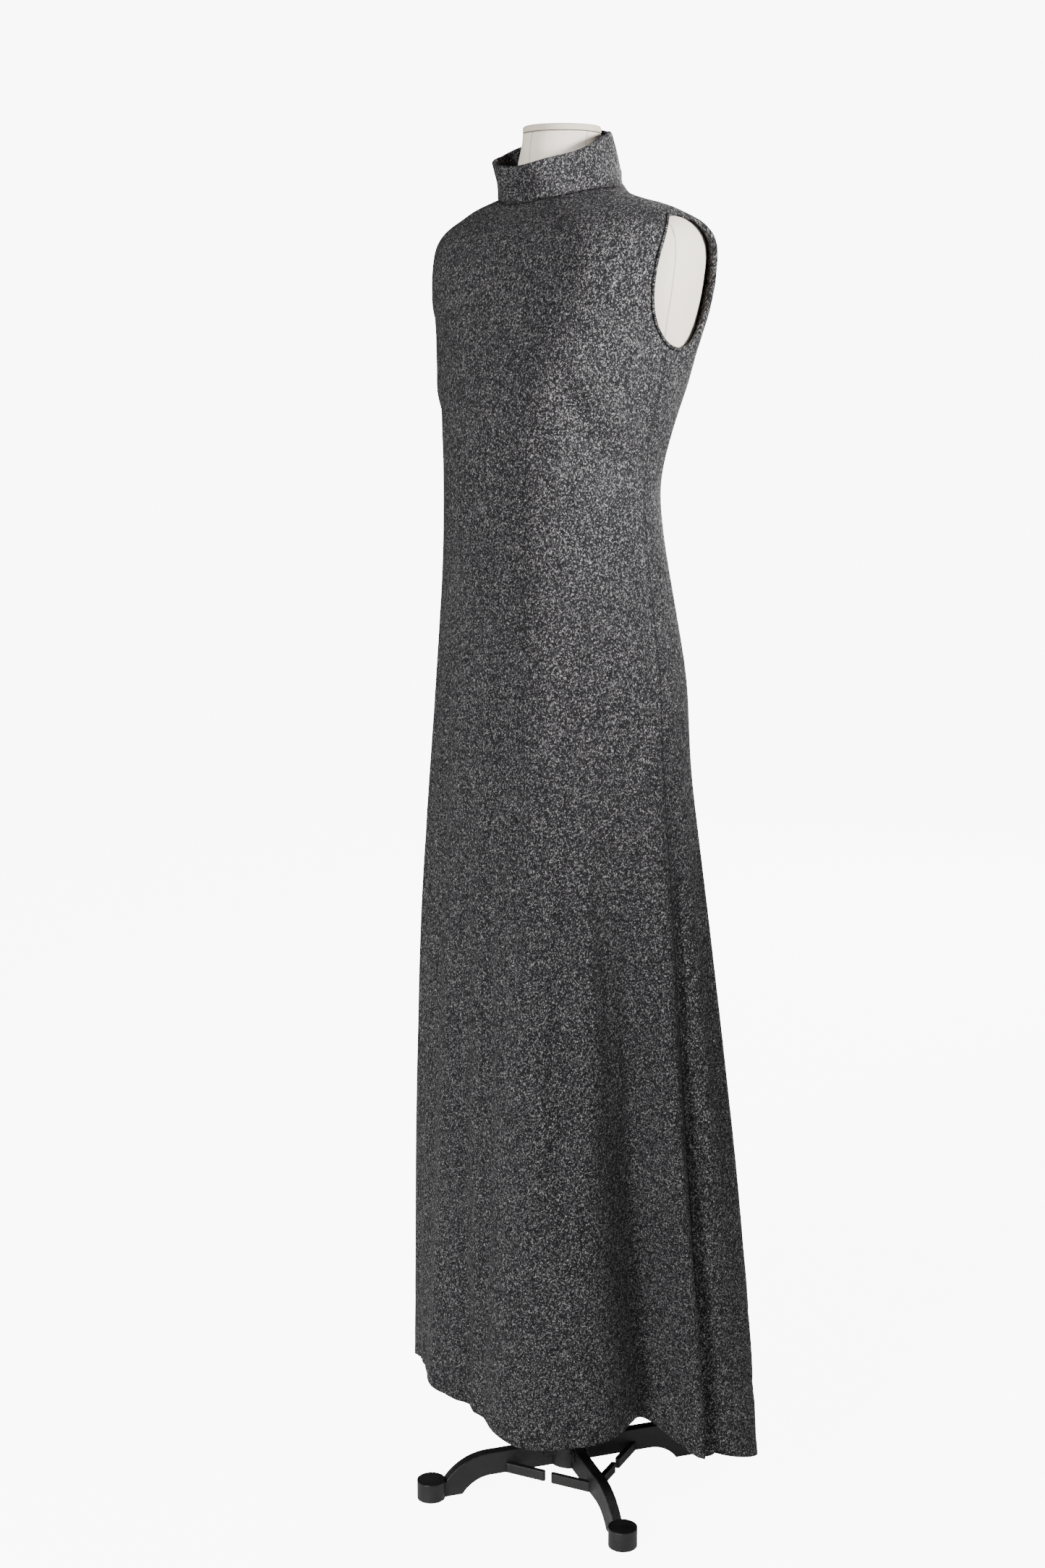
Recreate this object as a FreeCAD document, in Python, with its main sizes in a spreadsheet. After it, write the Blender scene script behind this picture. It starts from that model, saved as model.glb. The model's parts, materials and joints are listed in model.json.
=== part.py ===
import FreeCAD, Part
import math
import os
import re
import Sketcher
from FreeCAD import Vector as V

# A dress form for a shop or a sewing room, dressed in a sleeveless floor-length gown.
# +Z is up, the form faces -Y, its own left side is +X, and the origin is the point on the floor under the pole.

doc = FreeCAD.newDocument("dress_form")
sizes = doc.addObject("Spreadsheet::Sheet", "Sizes")
next_row = 1
ALIASES = set()


def size(alias, value):
    """One named size in millimetres or degrees: a plain number, or an expression of the sizes that it must follow."""
    global next_row
    sizes.set(f"A{next_row}", alias)
    sizes.set(f"B{next_row}", str(value))
    sizes.setAlias(f"B{next_row}", alias)
    ALIASES.add(alias)
    next_row += 1


# four-legged base
size("leg_turn", -23)
size("foot_reach", 178)
size("foot_radius", 17)
size("foot_height", 23)
size("leg_thickness", 12)
size("leg_underside", 19)
size("leg_top", 47)
size("arch_run", 36)
size("arch_to_foot", 38)
size("knee_run", 56)
size("toe_inset", 16)
size("toe_height", 18)
size("web_radius", 18)
size("post_radius", 25)
size("post_height", 130)
size("tenon_depth", 9)
size("part_clearance", 0.1)
size("cheek_reach", 36)
size("cheek_thickness", 3)
size("cheek_bottom", 33)
size("cheek_top", 46)
size("pin_reach", 31)
size("pin_height", 40)
size("pin_radius", 2.5)
size("pin_head_radius", 3.6)
size("pin_head_height", 2)
size("brace_reach", 87)
size("brace_height", 12)
size("brace_thickness", 6)
size("brace_gap", 8)
# pole
size("socket_floor", 76)
size("lower_tube_top", 620)
size("tube_wall", 2)
size("upper_tube_radius", 13.5)
size("bush_wall", 2)
size("lower_tube_radius", "=upper_tube_radius + bush_wall + tube_wall")
size("upper_tube_bottom", 330)
size("running_fit", 0.05)
size("overcut", 1)
size("bush_length", 40)
size("bush_flange", 3)
size("plug_height", 22)
size("base_bolt_radius", 4)
size("base_bolt_head", 6.5)
size("base_bolt_head_height", 5)
size("washer_radius", 12)
size("washer_thickness", 1.6)
size("collar_radius", 23)
size("collar_skirt", 24)
size("collar_crown", 32)
size("screw_radius", 4)
size("screw_tip_gap", 0.3)
size("boss_radius", 9)
size("boss_reach", 34)
size("boss_bite", 2)
size("boss_margin", 2)
size("knob_radius", 16)
size("knob_height", 14)
size("knob_gap", 8)
size("knob_lobe_radius", 6)
size("pole_in_torso", 110)
size("bearing_thickness", 4)
size("bearing_gap", 0.05)
# torso
size("torso_base_height", 900)
size("socket_wall", 3.5)
size("socket_drop", 42)
size("flange_radius", 45)
size("flange_thickness", 4)
size("flange_screw_circle", 34)
size("wood_screw_radius", 2)
size("wood_screw_head", 4)
size("board_thickness", 14)
size("board_inset", 3)
size("cover_thickness", 2)
size("cover_gap", 0.6)
size("shell_wall", 4)
size("board_clearance", 0.6)
size("screw_point_cover", 2)
size("seam_gap", 0.3)
size("neck_block_height", 30)
size("neck_block_inset", 2)
size("cap_thickness", 7)
size("cap_rounding", 2.5)
size("cap_gap", 0.4)
# gown
size("gown_ease", 6.5)
size("gown_thickness", 2.4)
size("gown_seam_gap", 0.4)
size("hem_front_height", 170)
size("hem_back_height", 40)
size("hem_half_width", 213)
size("hem_front", 181)
size("hem_back", 233)
size("knee_drop", 460)
size("knee_half_width", 202)
size("knee_front", 174)
size("knee_back", 186)
size("thigh_drop", 170)
size("thigh_half_width", 188)
size("thigh_front", 166)
size("thigh_back", 138)
size("funnel_base_radius", 68)
size("funnel_top_radius", 65)
size("funnel_skirt", 34)
size("funnel_height", 53)
size("funnel_tilt", 15)
size("funnel_forward", 22)
size("funnel_rise", 634)
size("armhole_half_width", 47)
size("armhole_half_height", 70)
size("armhole_rise", 530)
size("armhole_back", -3)
size("hem_spare", 8)

# torso girths, outside its cover: rise above the torso's base, half width, reach to the front and to the back of the
# pole's axis, and squareness (2 is an ellipse)
GIRTHS = [
    ("rim", 0, 156, 128, 96, 2.0),
    ("hip", 90, 160, 132, 96, 2.0),
    ("high_hip", 200, 141, 117, 79, 2.0),
    ("waist", 300, 118, 108, 68, 2.0),
    ("ribs", 362, 134, 117, 77, 2.0),
    ("bust", 430, 154, 131, 92, 2.1),
    ("chest", 490, 166, 119, 91, 2.3),
    ("arm", 540, 176, 110, 87, 2.5),
    ("shoulder", 575, 176, 101, 83, 2.5),
    ("slope_low", 592, 165, 93, 76, 2.4),
    ("slope_mid", 606, 137, 85, 69, 2.3),
    ("slope_top", 619, 98, 78, 60, 2.1),
    ("neck_base", 631, 64, 72, 46, 2.0),
    ("neck_low", 646, 52, 69, 33, 2.0),
    ("neck_root", 662, 47.5, 68, 27, 2.0),
    ("neck_end", 692, 43, 63, 23, 2.0),
]
for girth, rise, half_width, front, back, square in GIRTHS:
    size(girth + "_rise", rise)
    size(girth + "_half_width", half_width)
    size(girth + "_front", front)
    size(girth + "_back", back)
    size(girth + "_square", square)

# the room between the torso and the gown over each girth that it covers: at the side and at the front
GOWN_ROOM = [
    ("rim", 18, 21),
    ("hip", 5, 13),
    ("high_hip", 8, 23),
    ("waist", 13, 40),
    ("ribs", 7, 26),
    ("bust", 5, 6.5),
    ("chest", 5.5, 5.5),
    ("arm", 5.5, 5.5),
    ("shoulder", 5.5, 5.5),
    ("slope_low", 5.5, 5.5),
    ("slope_mid", 5.5, 5.5),
    ("slope_top", 5.5, 5.5),
    ("neck_base", 5.5, 5.5),
    ("neck_low", 5.5, 5.5),
]
for girth, side_room, front_room in GOWN_ROOM:
    size(girth + "_side_room", side_room)
    size(girth + "_front_room", front_room)
doc.recompute()

SUB_PARTS = []
TURN_TO_BACK = FreeCAD.Rotation(V(1, 0, 0), -90)


def keep(thing, label):
    """Names a finished sub-part: its label is its node's name."""
    thing.Label = label
    SUB_PARTS.append(thing)
    return thing


def tied(expression):
    """The expression with each alias read from the sheet."""
    return re.sub(r"[a-z][a-z_]+", lambda word: "Sizes." + word[0] if word[0] in ALIASES else word[0], expression)


def value(expression):
    return float(sizes.evalExpression(tied(expression)))


def bind(thing, **expressions):
    for name, expression in expressions.items():
        thing.setExpression(name, tied(expression))
    return thing


def place(thing, x="0", y="0", z="0"):
    for axis, expression in (("x", x), ("y", y), ("z", z)):
        thing.setExpression("Placement.Base." + axis, tied(expression))
    return thing


def cylinder(name, radius, height, bottom="0"):
    rod = bind(doc.addObject("Part::Cylinder", name), Radius=radius, Height=height)
    return place(rod, z=bottom)


def cross_rod(name, radius, length, start, level):
    """A round bar that runs towards the back, square to the pole, from a distance off its axis."""
    rod = bind(doc.addObject("Part::Cylinder", name), Radius=radius, Height=length)
    rod.Placement.Rotation = TURN_TO_BACK
    return place(rod, y=start, z=level)


def cut(name, body, tool):
    result = doc.addObject("Part::Cut", name)
    result.Base = body
    result.Tool = tool
    return result


def fuse(name, pieces):
    result = doc.addObject("Part::MultiFuse", name)
    result.Shapes = pieces
    return result


def ring(name, outer, inner, height, bottom):
    """A round tube or washer about the pole's axis."""
    wall = cylinder(name + "_outside", outer, height, bottom)
    bore = cylinder(name + "_bore", inner, f"{height} + 2 * overcut", f"{bottom} - overcut")
    return cut(name, wall, bore)


# ---- sketches and PartDesign features ----


def new_body(name, turn="0"):
    body = doc.addObject("PartDesign::Body", name)
    body.AllowCompound = True
    body.Placement.Rotation = FreeCAD.Rotation(V(0, 0, 1), 0)
    body.setExpression("Placement.Rotation.Angle", tied(turn))
    return body


def new_sketch(body, name, role, level="0"):
    sketch = body.newObject("Sketcher::SketchObject", name)
    sketch.AttachmentSupport = [(next(f for f in body.Origin.OriginFeatures if f.Role == role), "")]
    sketch.MapMode = "FlatFace"
    sketch.setExpression("AttachmentOffset.Base.z", tied(level))
    return sketch


def tangent_arc(start, end, shared, along):
    """The arc from start to end that leaves the shared one of them along a straight neighbour's direction."""
    chord = (end if shared == start else start) - shared
    across = V(-along.y, along.x, 0).normalize()
    radius = chord.dot(chord) / (2 * chord.dot(across))
    centre = shared + across * radius
    middle = (start + end) * 0.5 - centre
    if middle.Length < 1e-6:
        middle = along * (1 if shared == start else -1)
    return Part.Arc(start, centre + middle.normalize() * abs(radius), end)


def outline(sketch, corners, arcs=None):
    """A closed outline whose corners are tied to the sheet. arcs gives, for each edge that is an arc, the straight
    neighbour that it runs into without a corner."""
    arcs = arcs or {}
    points = [V(value(x), value(y), 0) for x, y in corners]
    count = len(points)
    first = len(sketch.Geometry)
    ends = []
    for edge in range(count):
        start, end = points[edge], points[(edge + 1) % count]
        if edge in arcs:
            side = arcs[edge]
            along = (points[(side + 1) % count] - points[side]).normalize()
            shared = end if side == (edge + 1) % count else start
            sketch.addGeometry(tangent_arc(start, end, shared, along), False)
        else:
            sketch.addGeometry(Part.LineSegment(start, end), False)
        forward = sketch.getPoint(first + edge, 1).distanceToPoint(start) < 1e-6
        ends.append((1, 2) if forward else (2, 1))
    for edge, (x, y) in enumerate(corners):
        before = (edge - 1) % count
        smooth = arcs.get(edge) == before or arcs.get(before) == edge
        kind = "Tangent" if smooth else "Coincident"
        sketch.addConstraint(
            Sketcher.Constraint(kind, first + before, ends[before][1], first + edge, ends[edge][0])
        )
        for direction, place_on_axis, expression in (
            ("DistanceX", points[edge].x, x),
            ("DistanceY", points[edge].y, y),
        ):
            index = sketch.addConstraint(
                Sketcher.Constraint(direction, -1, 1, first + edge, ends[edge][0], place_on_axis)
            )
            sketch.setExpression(f"Constraints[{index}]", tied(expression))


def circle(sketch, x, y, radius):
    index = sketch.addGeometry(Part.Circle(V(value(x), value(y), 0), V(0, 0, 1), value(radius)), False)
    for kind, amount in (("DistanceX", x), ("DistanceY", y)):
        row = sketch.addConstraint(Sketcher.Constraint(kind, -1, 1, index, 3, value(amount)))
        sketch.setExpression(f"Constraints[{row}]", tied(amount))
    row = sketch.addConstraint(Sketcher.Constraint("Radius", index, value(radius)))
    sketch.setExpression(f"Constraints[{row}]", tied(radius))


def feature(body, kind, name, sketch, length, side="One side", backwards=False):
    made = body.newObject("PartDesign::" + kind, name)
    made.Profile = sketch
    made.SideType = side
    made.Reversed = backwards
    return bind(made, Length=length)


def revolve(body, name, sketch):
    turned = body.newObject("PartDesign::Revolution", name)
    turned.Profile = sketch
    turned.ReferenceAxis = (next(f for f in body.Origin.OriginFeatures if f.Role == "Z_Axis"), "")
    turned.Angle = 360
    return turned


def four_times(body, name, features):
    """Repeats features about the pole's axis, once for each leg."""
    pattern = body.newObject("PartDesign::PolarPattern", name)
    pattern.Originals = features
    pattern.Axis = (next(f for f in body.Origin.OriginFeatures if f.Role == "Z_Axis"), "")
    pattern.Angle = 360
    pattern.Occurrences = 4
    body.Tip = pattern
    return pattern


# ---- base: four cast legs clasped by a turned post ----


def leg(name, quarter):
    """A curved leg, flat on both sides, with a round foot; it lies along +X before it is turned."""
    body = new_body(name, f"leg_turn + {90 * quarter}")
    side = new_sketch(body, name + "_side", "XZ_Plane")
    bend = "foot_reach - arch_to_foot"
    knee = "foot_reach - toe_inset"
    outline(
        side,
        [
            ("post_radius - tenon_depth", "leg_underside"),
            (f"{bend} - arch_run", "leg_underside"),
            (bend, "0"),
            ("foot_reach", "0"),
            ("foot_reach", "toe_height"),
            (knee, "toe_height"),
            (f"{knee} - knee_run", "leg_top"),
            ("post_radius + web_radius", "leg_top"),
            ("post_radius", "leg_top + web_radius"),
            ("post_radius - tenon_depth", "leg_top + web_radius"),
        ],
        {1: 0, 5: 6, 7: 6},
    )
    feature(body, "Pad", name + "_plate", side, "leg_thickness", "Symmetric")
    foot = new_sketch(body, name + "_foot_circle", "XY_Plane")
    circle(foot, "foot_reach", "0", "foot_radius")
    feature(body, "Pad", name + "_foot", foot, "foot_height")
    hole = new_sketch(body, name + "_bolt_circle", "XZ_Plane")
    circle(hole, "pin_reach", "pin_height", "pin_radius + part_clearance")
    feature(body, "Pocket", name + "_bolt_hole", hole, "leg_thickness + 2 * overcut", "Symmetric")
    return keep(body, name)


for quarter, side in enumerate(("left", "back", "right", "front")):
    leg("leg_" + side, quarter)

post = new_body("hub_post_body", "leg_turn")
profile = new_sketch(post, "hub_profile", "XZ_Plane")
outline(
    profile,
    [
        ("base_bolt_radius + part_clearance", "leg_underside"),
        ("post_radius", "leg_underside"),
        ("post_radius", "post_height - tube_wall"),
        ("post_radius - tube_wall", "post_height"),
        ("lower_tube_radius + part_clearance", "post_height"),
        ("lower_tube_radius + part_clearance", "socket_floor"),
        ("base_bolt_radius + part_clearance", "socket_floor"),
    ],
)
revolve(post, "hub_turned", profile)
cheeks = new_sketch(post, "cheek_plan", "XY_Plane", "cheek_bottom")
half_slot = "leg_thickness / 2 + part_clearance"
for sign in ("", "-"):
    near, far = f"{sign}({half_slot})", f"{sign}({half_slot} + cheek_thickness)"
    inside = "post_radius - tenon_depth / 2"
    outline(cheeks, [(inside, near), ("cheek_reach", near), ("cheek_reach", far), (inside, far)])
cheek_pad = feature(post, "Pad", "cheeks", cheeks, "cheek_top - cheek_bottom")
four_times(post, "all_cheeks", [cheek_pad])
slot = new_sketch(post, "slot_plan", "XY_Plane")
slot_end = "post_radius - tenon_depth - part_clearance"
outline(
    slot,
    [
        (slot_end, f"-({half_slot})"),
        ("post_radius + overcut", f"-({half_slot})"),
        ("post_radius + overcut", half_slot),
        (slot_end, half_slot),
    ],
)
slot_cut = feature(post, "Pocket", "leg_slot", slot, "leg_top + web_radius + part_clearance", backwards=True)
four_times(post, "all_slots", [slot_cut])
bolt_holes = new_sketch(post, "bolt_hole_circle", "XZ_Plane")
circle(bolt_holes, "pin_reach", "pin_height", "pin_radius + part_clearance")
hole_cut = feature(
    post, "Pocket", "bolt_hole", bolt_holes, "leg_thickness + 2 * cheek_thickness + 2 * overcut", "Symmetric"
)
four_times(post, "all_bolt_holes", [hole_cut])
keep(post, "hub_post")

bolts = new_body("leg_bolts_body", "leg_turn")
bolt_circle = new_sketch(bolts, "bolt_shank_circle", "XZ_Plane")
circle(bolt_circle, "pin_reach", "pin_height", "pin_radius")
across_cheeks = "leg_thickness + 2 * part_clearance + 2 * cheek_thickness"
shank = feature(bolts, "Pad", "bolt_shank", bolt_circle, across_cheeks, "Symmetric")
head_circle = new_sketch(bolts, "bolt_head_circle", "XZ_Plane", f"({across_cheeks}) / 2")
circle(head_circle, "pin_reach", "pin_height", "pin_head_radius")
head = feature(bolts, "Pad", "bolt_head", head_circle, "pin_head_height")
four_times(bolts, "all_bolts", [shank, head])
keep(bolts, "leg_bolts")

bars = new_body("brace_bars_body", "leg_turn")
bar_plan = new_sketch(bars, "brace_plan", "XY_Plane", "leg_underside")
tip = "(brace_gap + brace_thickness) / 2 / sqrt(2)"
slant = "brace_thickness / sqrt(2)"
for sign in ("", "-"):
    outline(
        bar_plan,
        [
            (f"brace_reach + {slant} - leg_thickness / 2", f"{sign}(leg_thickness / 2)"),
            (f"brace_reach / 2 + {tip} + {slant} / 2", f"{sign}(brace_reach / 2 - {tip} + {slant} / 2)"),
            (f"brace_reach / 2 + {tip} - {slant} / 2", f"{sign}(brace_reach / 2 - {tip} - {slant} / 2)"),
            (f"brace_reach - {slant} - leg_thickness / 2", f"{sign}(leg_thickness / 2)"),
        ],
        {1: 0},
    )
bar_pad = feature(bars, "Pad", "brace_pad", bar_plan, "brace_height")
four_times(bars, "all_bars", [bar_pad])
keep(bars, "brace_bars")

bolt_bottom = "leg_underside - washer_thickness"
bolt_head = doc.addObject("Part::Prism", "base_bolt_head")
bolt_head.Polygon = 6
bind(bolt_head, Circumradius="base_bolt_head", Height="base_bolt_head_height")
place(bolt_head, z=f"{bolt_bottom} - base_bolt_head_height")
bolt_shank = cylinder("base_bolt_shank", "base_bolt_radius", f"socket_floor + plug_height - ({bolt_bottom})",
                      bolt_bottom)
keep(fuse("base_bolt_whole", [bolt_head, bolt_shank]), "base_bolt")
keep(ring("base_washer_ring", "washer_radius", "base_bolt_radius + part_clearance", "washer_thickness",
          bolt_bottom), "base_washer")

# ---- pole: a fixed lower tube, a sliding upper tube and the collar that clamps it ----

lower_bore = "lower_tube_radius - tube_wall"
keep(ring("lower_tube_ring", "lower_tube_radius", lower_bore, "lower_tube_top - socket_floor", "socket_floor"),
     "lower_tube")
keep(ring("foot_plug_ring", f"{lower_bore} - running_fit", "base_bolt_radius + part_clearance", "plug_height",
          "socket_floor"), "tube_foot_plug")

bush_sleeve = cylinder("bush_sleeve", f"{lower_bore} - running_fit", "bush_length", "lower_tube_top - bush_length")
bush_rim = cylinder("bush_rim", "lower_tube_radius - running_fit", "bush_flange", "lower_tube_top")
bush_bore = cylinder("bush_bore", "upper_tube_radius + running_fit", "bush_length + bush_flange + 2 * overcut",
                     "lower_tube_top - bush_length - overcut")
keep(cut("guide_bush_cut", fuse("bush_outside", [bush_sleeve, bush_rim]), bush_bore), "guide_bush")


def clamped_ring(name, pieces, bores, level):
    """Turned pieces about the pole with a side boss that a thumbscrew runs through."""
    boss = cross_rod(name + "_boss", "boss_radius", "boss_reach - upper_tube_radius - boss_bite",
                     "upper_tube_radius + boss_bite",
                     level)
    thread = cross_rod(name + "_thread", "screw_radius + running_fit", "boss_reach", "upper_tube_radius / 2", level)
    return cut(name, fuse(name + "_outside", pieces + [boss]), fuse(name + "_bores", bores + [thread]))


def thumbscrew(name, level):
    """The screw that presses on the upper tube, and the lobed knob on its outer end."""
    tip_at = "upper_tube_radius + screw_tip_gap"
    knob_at = "boss_reach + knob_gap"
    screw = cross_rod(name + "_screw_rod", "screw_radius", f"{knob_at} + knob_height / 2 - ({tip_at})", tip_at, level)
    keep(screw, name + "_screw")
    core = cross_rod(name + "_knob_core", "knob_radius - knob_lobe_radius / 2", "knob_height", knob_at, level)
    lobes = [core]
    for lobe in range(6):
        turn = f"{60 * lobe} * 1 deg"
        knuckle = cross_rod(f"{name}_knob_lobe_{lobe}", "knob_lobe_radius", "knob_height", knob_at, level)
        knuckle.setExpression("Placement.Base.x", tied(f"(knob_radius - knob_lobe_radius) * cos({turn})"))
        knuckle.setExpression("Placement.Base.z", tied(f"{level} + (knob_radius - knob_lobe_radius) * sin({turn})"))
        lobes.append(knuckle)
    socket = cross_rod(name + "_knob_socket", "screw_radius", "knob_height / 2", knob_at, level)
    keep(cut(name + "_knob_cut", fuse(name + "_knob_whole", lobes), socket), name + "_knob")


clamp_level = "lower_tube_top + bush_flange + collar_crown / 2"
collar_outside = cylinder("collar_outside", "collar_radius", "collar_skirt + bush_flange + collar_crown",
                          "lower_tube_top - collar_skirt")
skirt_bore = cylinder("collar_skirt_bore", "lower_tube_radius + part_clearance",
                      "collar_skirt + bush_flange + part_clearance + overcut",
                      "lower_tube_top - collar_skirt - overcut")
crown_bore = cylinder("collar_crown_bore", "upper_tube_radius + part_clearance",
                      "collar_skirt + bush_flange + collar_crown + 2 * overcut",
                      "lower_tube_top - collar_skirt - overcut")
keep(clamped_ring("height_collar_cut", [collar_outside], [skirt_bore, crown_bore], clamp_level), "height_collar")
thumbscrew("height", clamp_level)

upper_bore = "upper_tube_radius - tube_wall"
mast_top = "torso_base_height + pole_in_torso"
keep(ring("upper_tube_ring", "upper_tube_radius", upper_bore, f"{mast_top} - upper_tube_bottom",
          "upper_tube_bottom"), "upper_tube")
stop_plug = cylinder("stop_plug", f"{upper_bore} - running_fit", "plug_height", "upper_tube_bottom")
stop_disc = cylinder("stop_disc", f"{lower_bore} - 3 * part_clearance", "plug_height / 2",
                     "upper_tube_bottom - plug_height / 2")
keep(fuse("tube_stop_whole", [stop_plug, stop_disc]), "tube_stop")
top_plug = cylinder("top_plug", f"{upper_bore} - running_fit", "plug_height", f"{mast_top} - plug_height")
top_head = cylinder("top_head", "upper_tube_radius", "bush_flange", mast_top)
keep(fuse("tube_top_plug_whole", [top_plug, top_head]), "tube_top_plug")
keep(cylinder("bearing", "upper_tube_radius - part_clearance", "bearing_thickness", f"{mast_top} + bush_flange"),
     "bearing_disc")

# ---- torso socket, which turns on the upper tube ----

socket_radius = "upper_tube_radius + running_fit + socket_wall"
socket_bottom = "torso_base_height - socket_drop"
socket_top = f"{mast_top} + bush_flange + bearing_thickness + bearing_gap"
swivel_level = "torso_base_height - socket_drop + boss_radius + boss_margin"
socket_outside = cylinder("socket_outside", socket_radius, f"{socket_top} - ({socket_bottom})", socket_bottom)
socket_bore = cylinder("socket_bore", "upper_tube_radius + running_fit",
                       f"{socket_top} - ({socket_bottom}) + 2 * overcut", f"{socket_bottom} - overcut")
keep(clamped_ring("torso_socket_cut", [socket_outside], [socket_bore], swivel_level), "torso_socket")
thumbscrew("swivel", swivel_level)
keep(cylinder("socket_lid", socket_radius, "flange_thickness", socket_top), "socket_cap")

board_bottom = "torso_base_height + board_inset"
flange_bottom = f"{board_bottom} - flange_thickness"
flange_plate = cylinder("flange_plate", "flange_radius", "flange_thickness", flange_bottom)


def round_group(name, radius, height, bottom):
    """Four short rods on the flange's screw circle."""
    rods = []
    for quarter in range(4):
        rod = cylinder(f"{name}_{quarter}", radius, height, bottom)
        rod.setExpression("Placement.Base.x", tied(f"flange_screw_circle * cos({90 * quarter + 45} * 1 deg)"))
        rod.setExpression("Placement.Base.y", tied(f"flange_screw_circle * sin({90 * quarter + 45} * 1 deg)"))
        rods.append(rod)
    return rods


screw_length = "flange_thickness + board_thickness - screw_point_cover"
flange_holes = round_group("flange_hole", "wood_screw_radius + part_clearance", "flange_thickness + 2 * overcut",
                           f"{flange_bottom} - overcut")
flange_bore = cylinder("flange_bore", f"{socket_radius} + running_fit", "flange_thickness + 2 * overcut",
                       f"{flange_bottom} - overcut")
keep(cut("flange_cut", flange_plate, fuse("flange_holes", flange_holes + [flange_bore])), "socket_flange")
shanks = round_group("flange_screw_shank", "wood_screw_radius", screw_length, flange_bottom)
heads = round_group("flange_screw_head", "wood_screw_head", "wood_screw_radius",
                    f"{flange_bottom} - wood_screw_radius")
whole_screws = [fuse(f"flange_screw_{quarter}", [shanks[quarter], heads[quarter]]) for quarter in range(4)]
screw_group = doc.addObject("Part::Compound", "flange_screw_group")
screw_group.Links = whole_screws
keep(screw_group, "flange_screws")

# ---- torso: smooth lofts through its girths, which sketches and primitives can't give ----

SECTION_POINTS = 16
BEYOND = 2000.0


def section(half_width, front, back, square, height):
    """A closed smooth section: a superellipse with its own reach to the front and to the back."""
    points = []
    for index in range(SECTION_POINTS):
        angle = 2 * math.pi * index / SECTION_POINTS
        across, along = math.cos(angle), math.sin(angle)
        grow = (abs(across) ** square + abs(along) ** square) ** (-1 / square)
        middle, depth = (back - front) / 2, (back + front) / 2
        points.append(V(half_width * across * grow, middle + depth * along * grow, height))
    curve = Part.BSplineCurve()
    curve.interpolate(Points=points, PeriodicFlag=True)
    return Part.Wire([curve.toShape()])


def girth_section(girth, inward, height_shift=0.0):
    return section(
        value(girth + "_half_width") - inward,
        value(girth + "_front") - inward,
        value(girth + "_back") - inward,
        value(girth + "_square"),
        value("torso_base_height") + value(girth + "_rise") + height_shift,
    )


LONGEST_STEP = 40.0
BORE_OVERRUNS = (0.0, 5.0, 2.0, 3.0)
LARGEST_WALL_SHARE = 0.1


def filled_in(rows):
    """The rows, each ending in its height, with smooth ones added between them so that a loft through them is even."""
    slopes = []
    for index in range(len(rows)):
        low, high = rows[max(index - 1, 0)], rows[min(index + 1, len(rows) - 1)]
        slopes.append([(b - a) / (high[-1] - low[-1]) for a, b in zip(low, high)])
    filled = [rows[0]]
    for index in range(1, len(rows)):
        low, high = rows[index - 1], rows[index]
        rise = high[-1] - low[-1]
        steps = max(1, math.ceil(rise / LONGEST_STEP))
        for step in range(1, steps + 1):
            t = step / steps
            leaving, arriving = (t**3 - 2 * t**2 + t) * rise, (t**3 - t**2) * rise
            blend = 3 * t**2 - 2 * t**3
            filled.append([
                a + (b - a) * blend + leaving * m + arriving * n
                for a, b, m, n in zip(low, high, slopes[index - 1], slopes[index])
            ])
    return filled


def smooth_solid(rows, inward, overrun=0.0):
    """A smooth solid through rows of half width, front, back, squareness and height, drawn in by a distance and run
    past both ends by overrun."""
    rows = filled_in(rows)
    ends = {0: -overrun, len(rows) - 1: overrun}
    return Part.makeLoft([
        section(half_width - inward, front - inward, back - inward, square, height + ends.get(index, 0.0))
        for index, (half_width, front, back, square, height) in enumerate(rows)
    ], True)


def smooth_wall(rows, inward, thickness):
    """A smooth wall, open at both ends. Some cuts come back with the bore still full, so the wall's volume is checked
    and the bore is run a different distance past the ends until it is right."""
    outside = smooth_solid(rows, inward)
    for overrun in BORE_OVERRUNS:
        wall = outside.cut(smooth_solid(rows, inward + thickness, overrun))
        if wall.isValid() and 0 < wall.Volume < outside.Volume * LARGEST_WALL_SHARE:
            return wall
    raise RuntimeError("a wall's bore was not cut")


def torso_rows():
    rows = []
    for row in GIRTHS:
        name = row[0]
        cells = [value(name + part) for part in ("_half_width", "_front", "_back", "_square")]
        rows.append(cells + [value(f"torso_base_height + {name}_rise")])
    return rows


def side_of(shape, axis, positive, gap):
    """The part of a shape on one side of the plane square to an axis, less half the seam gap there."""
    corner = [-BEYOND, -BEYOND, -BEYOND]
    corner[axis] = gap / 2 if positive else -gap / 2 - 2 * BEYOND
    return shape.common(Part.makeBox(2 * BEYOND, 2 * BEYOND, 2 * BEYOND, V(*corner)))


def add_shape(shape, label):
    thing = doc.addObject("Part::Feature", label + "_shape")
    thing.Shape = shape
    return keep(thing, label)


past = value("overcut")
cover_wall = smooth_wall(torso_rows(), 0.0, value("cover_thickness"))
shell_inset = value("cover_thickness + cover_gap")
shell_wall = smooth_wall(torso_rows(), shell_inset, value("shell_wall"))
for label, wall in (("cover", cover_wall), ("shell", shell_wall)):
    add_shape(side_of(wall, 1, False, value("seam_gap")), label + "_front")
    add_shape(side_of(wall, 1, True, value("seam_gap")), label + "_back")

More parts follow.
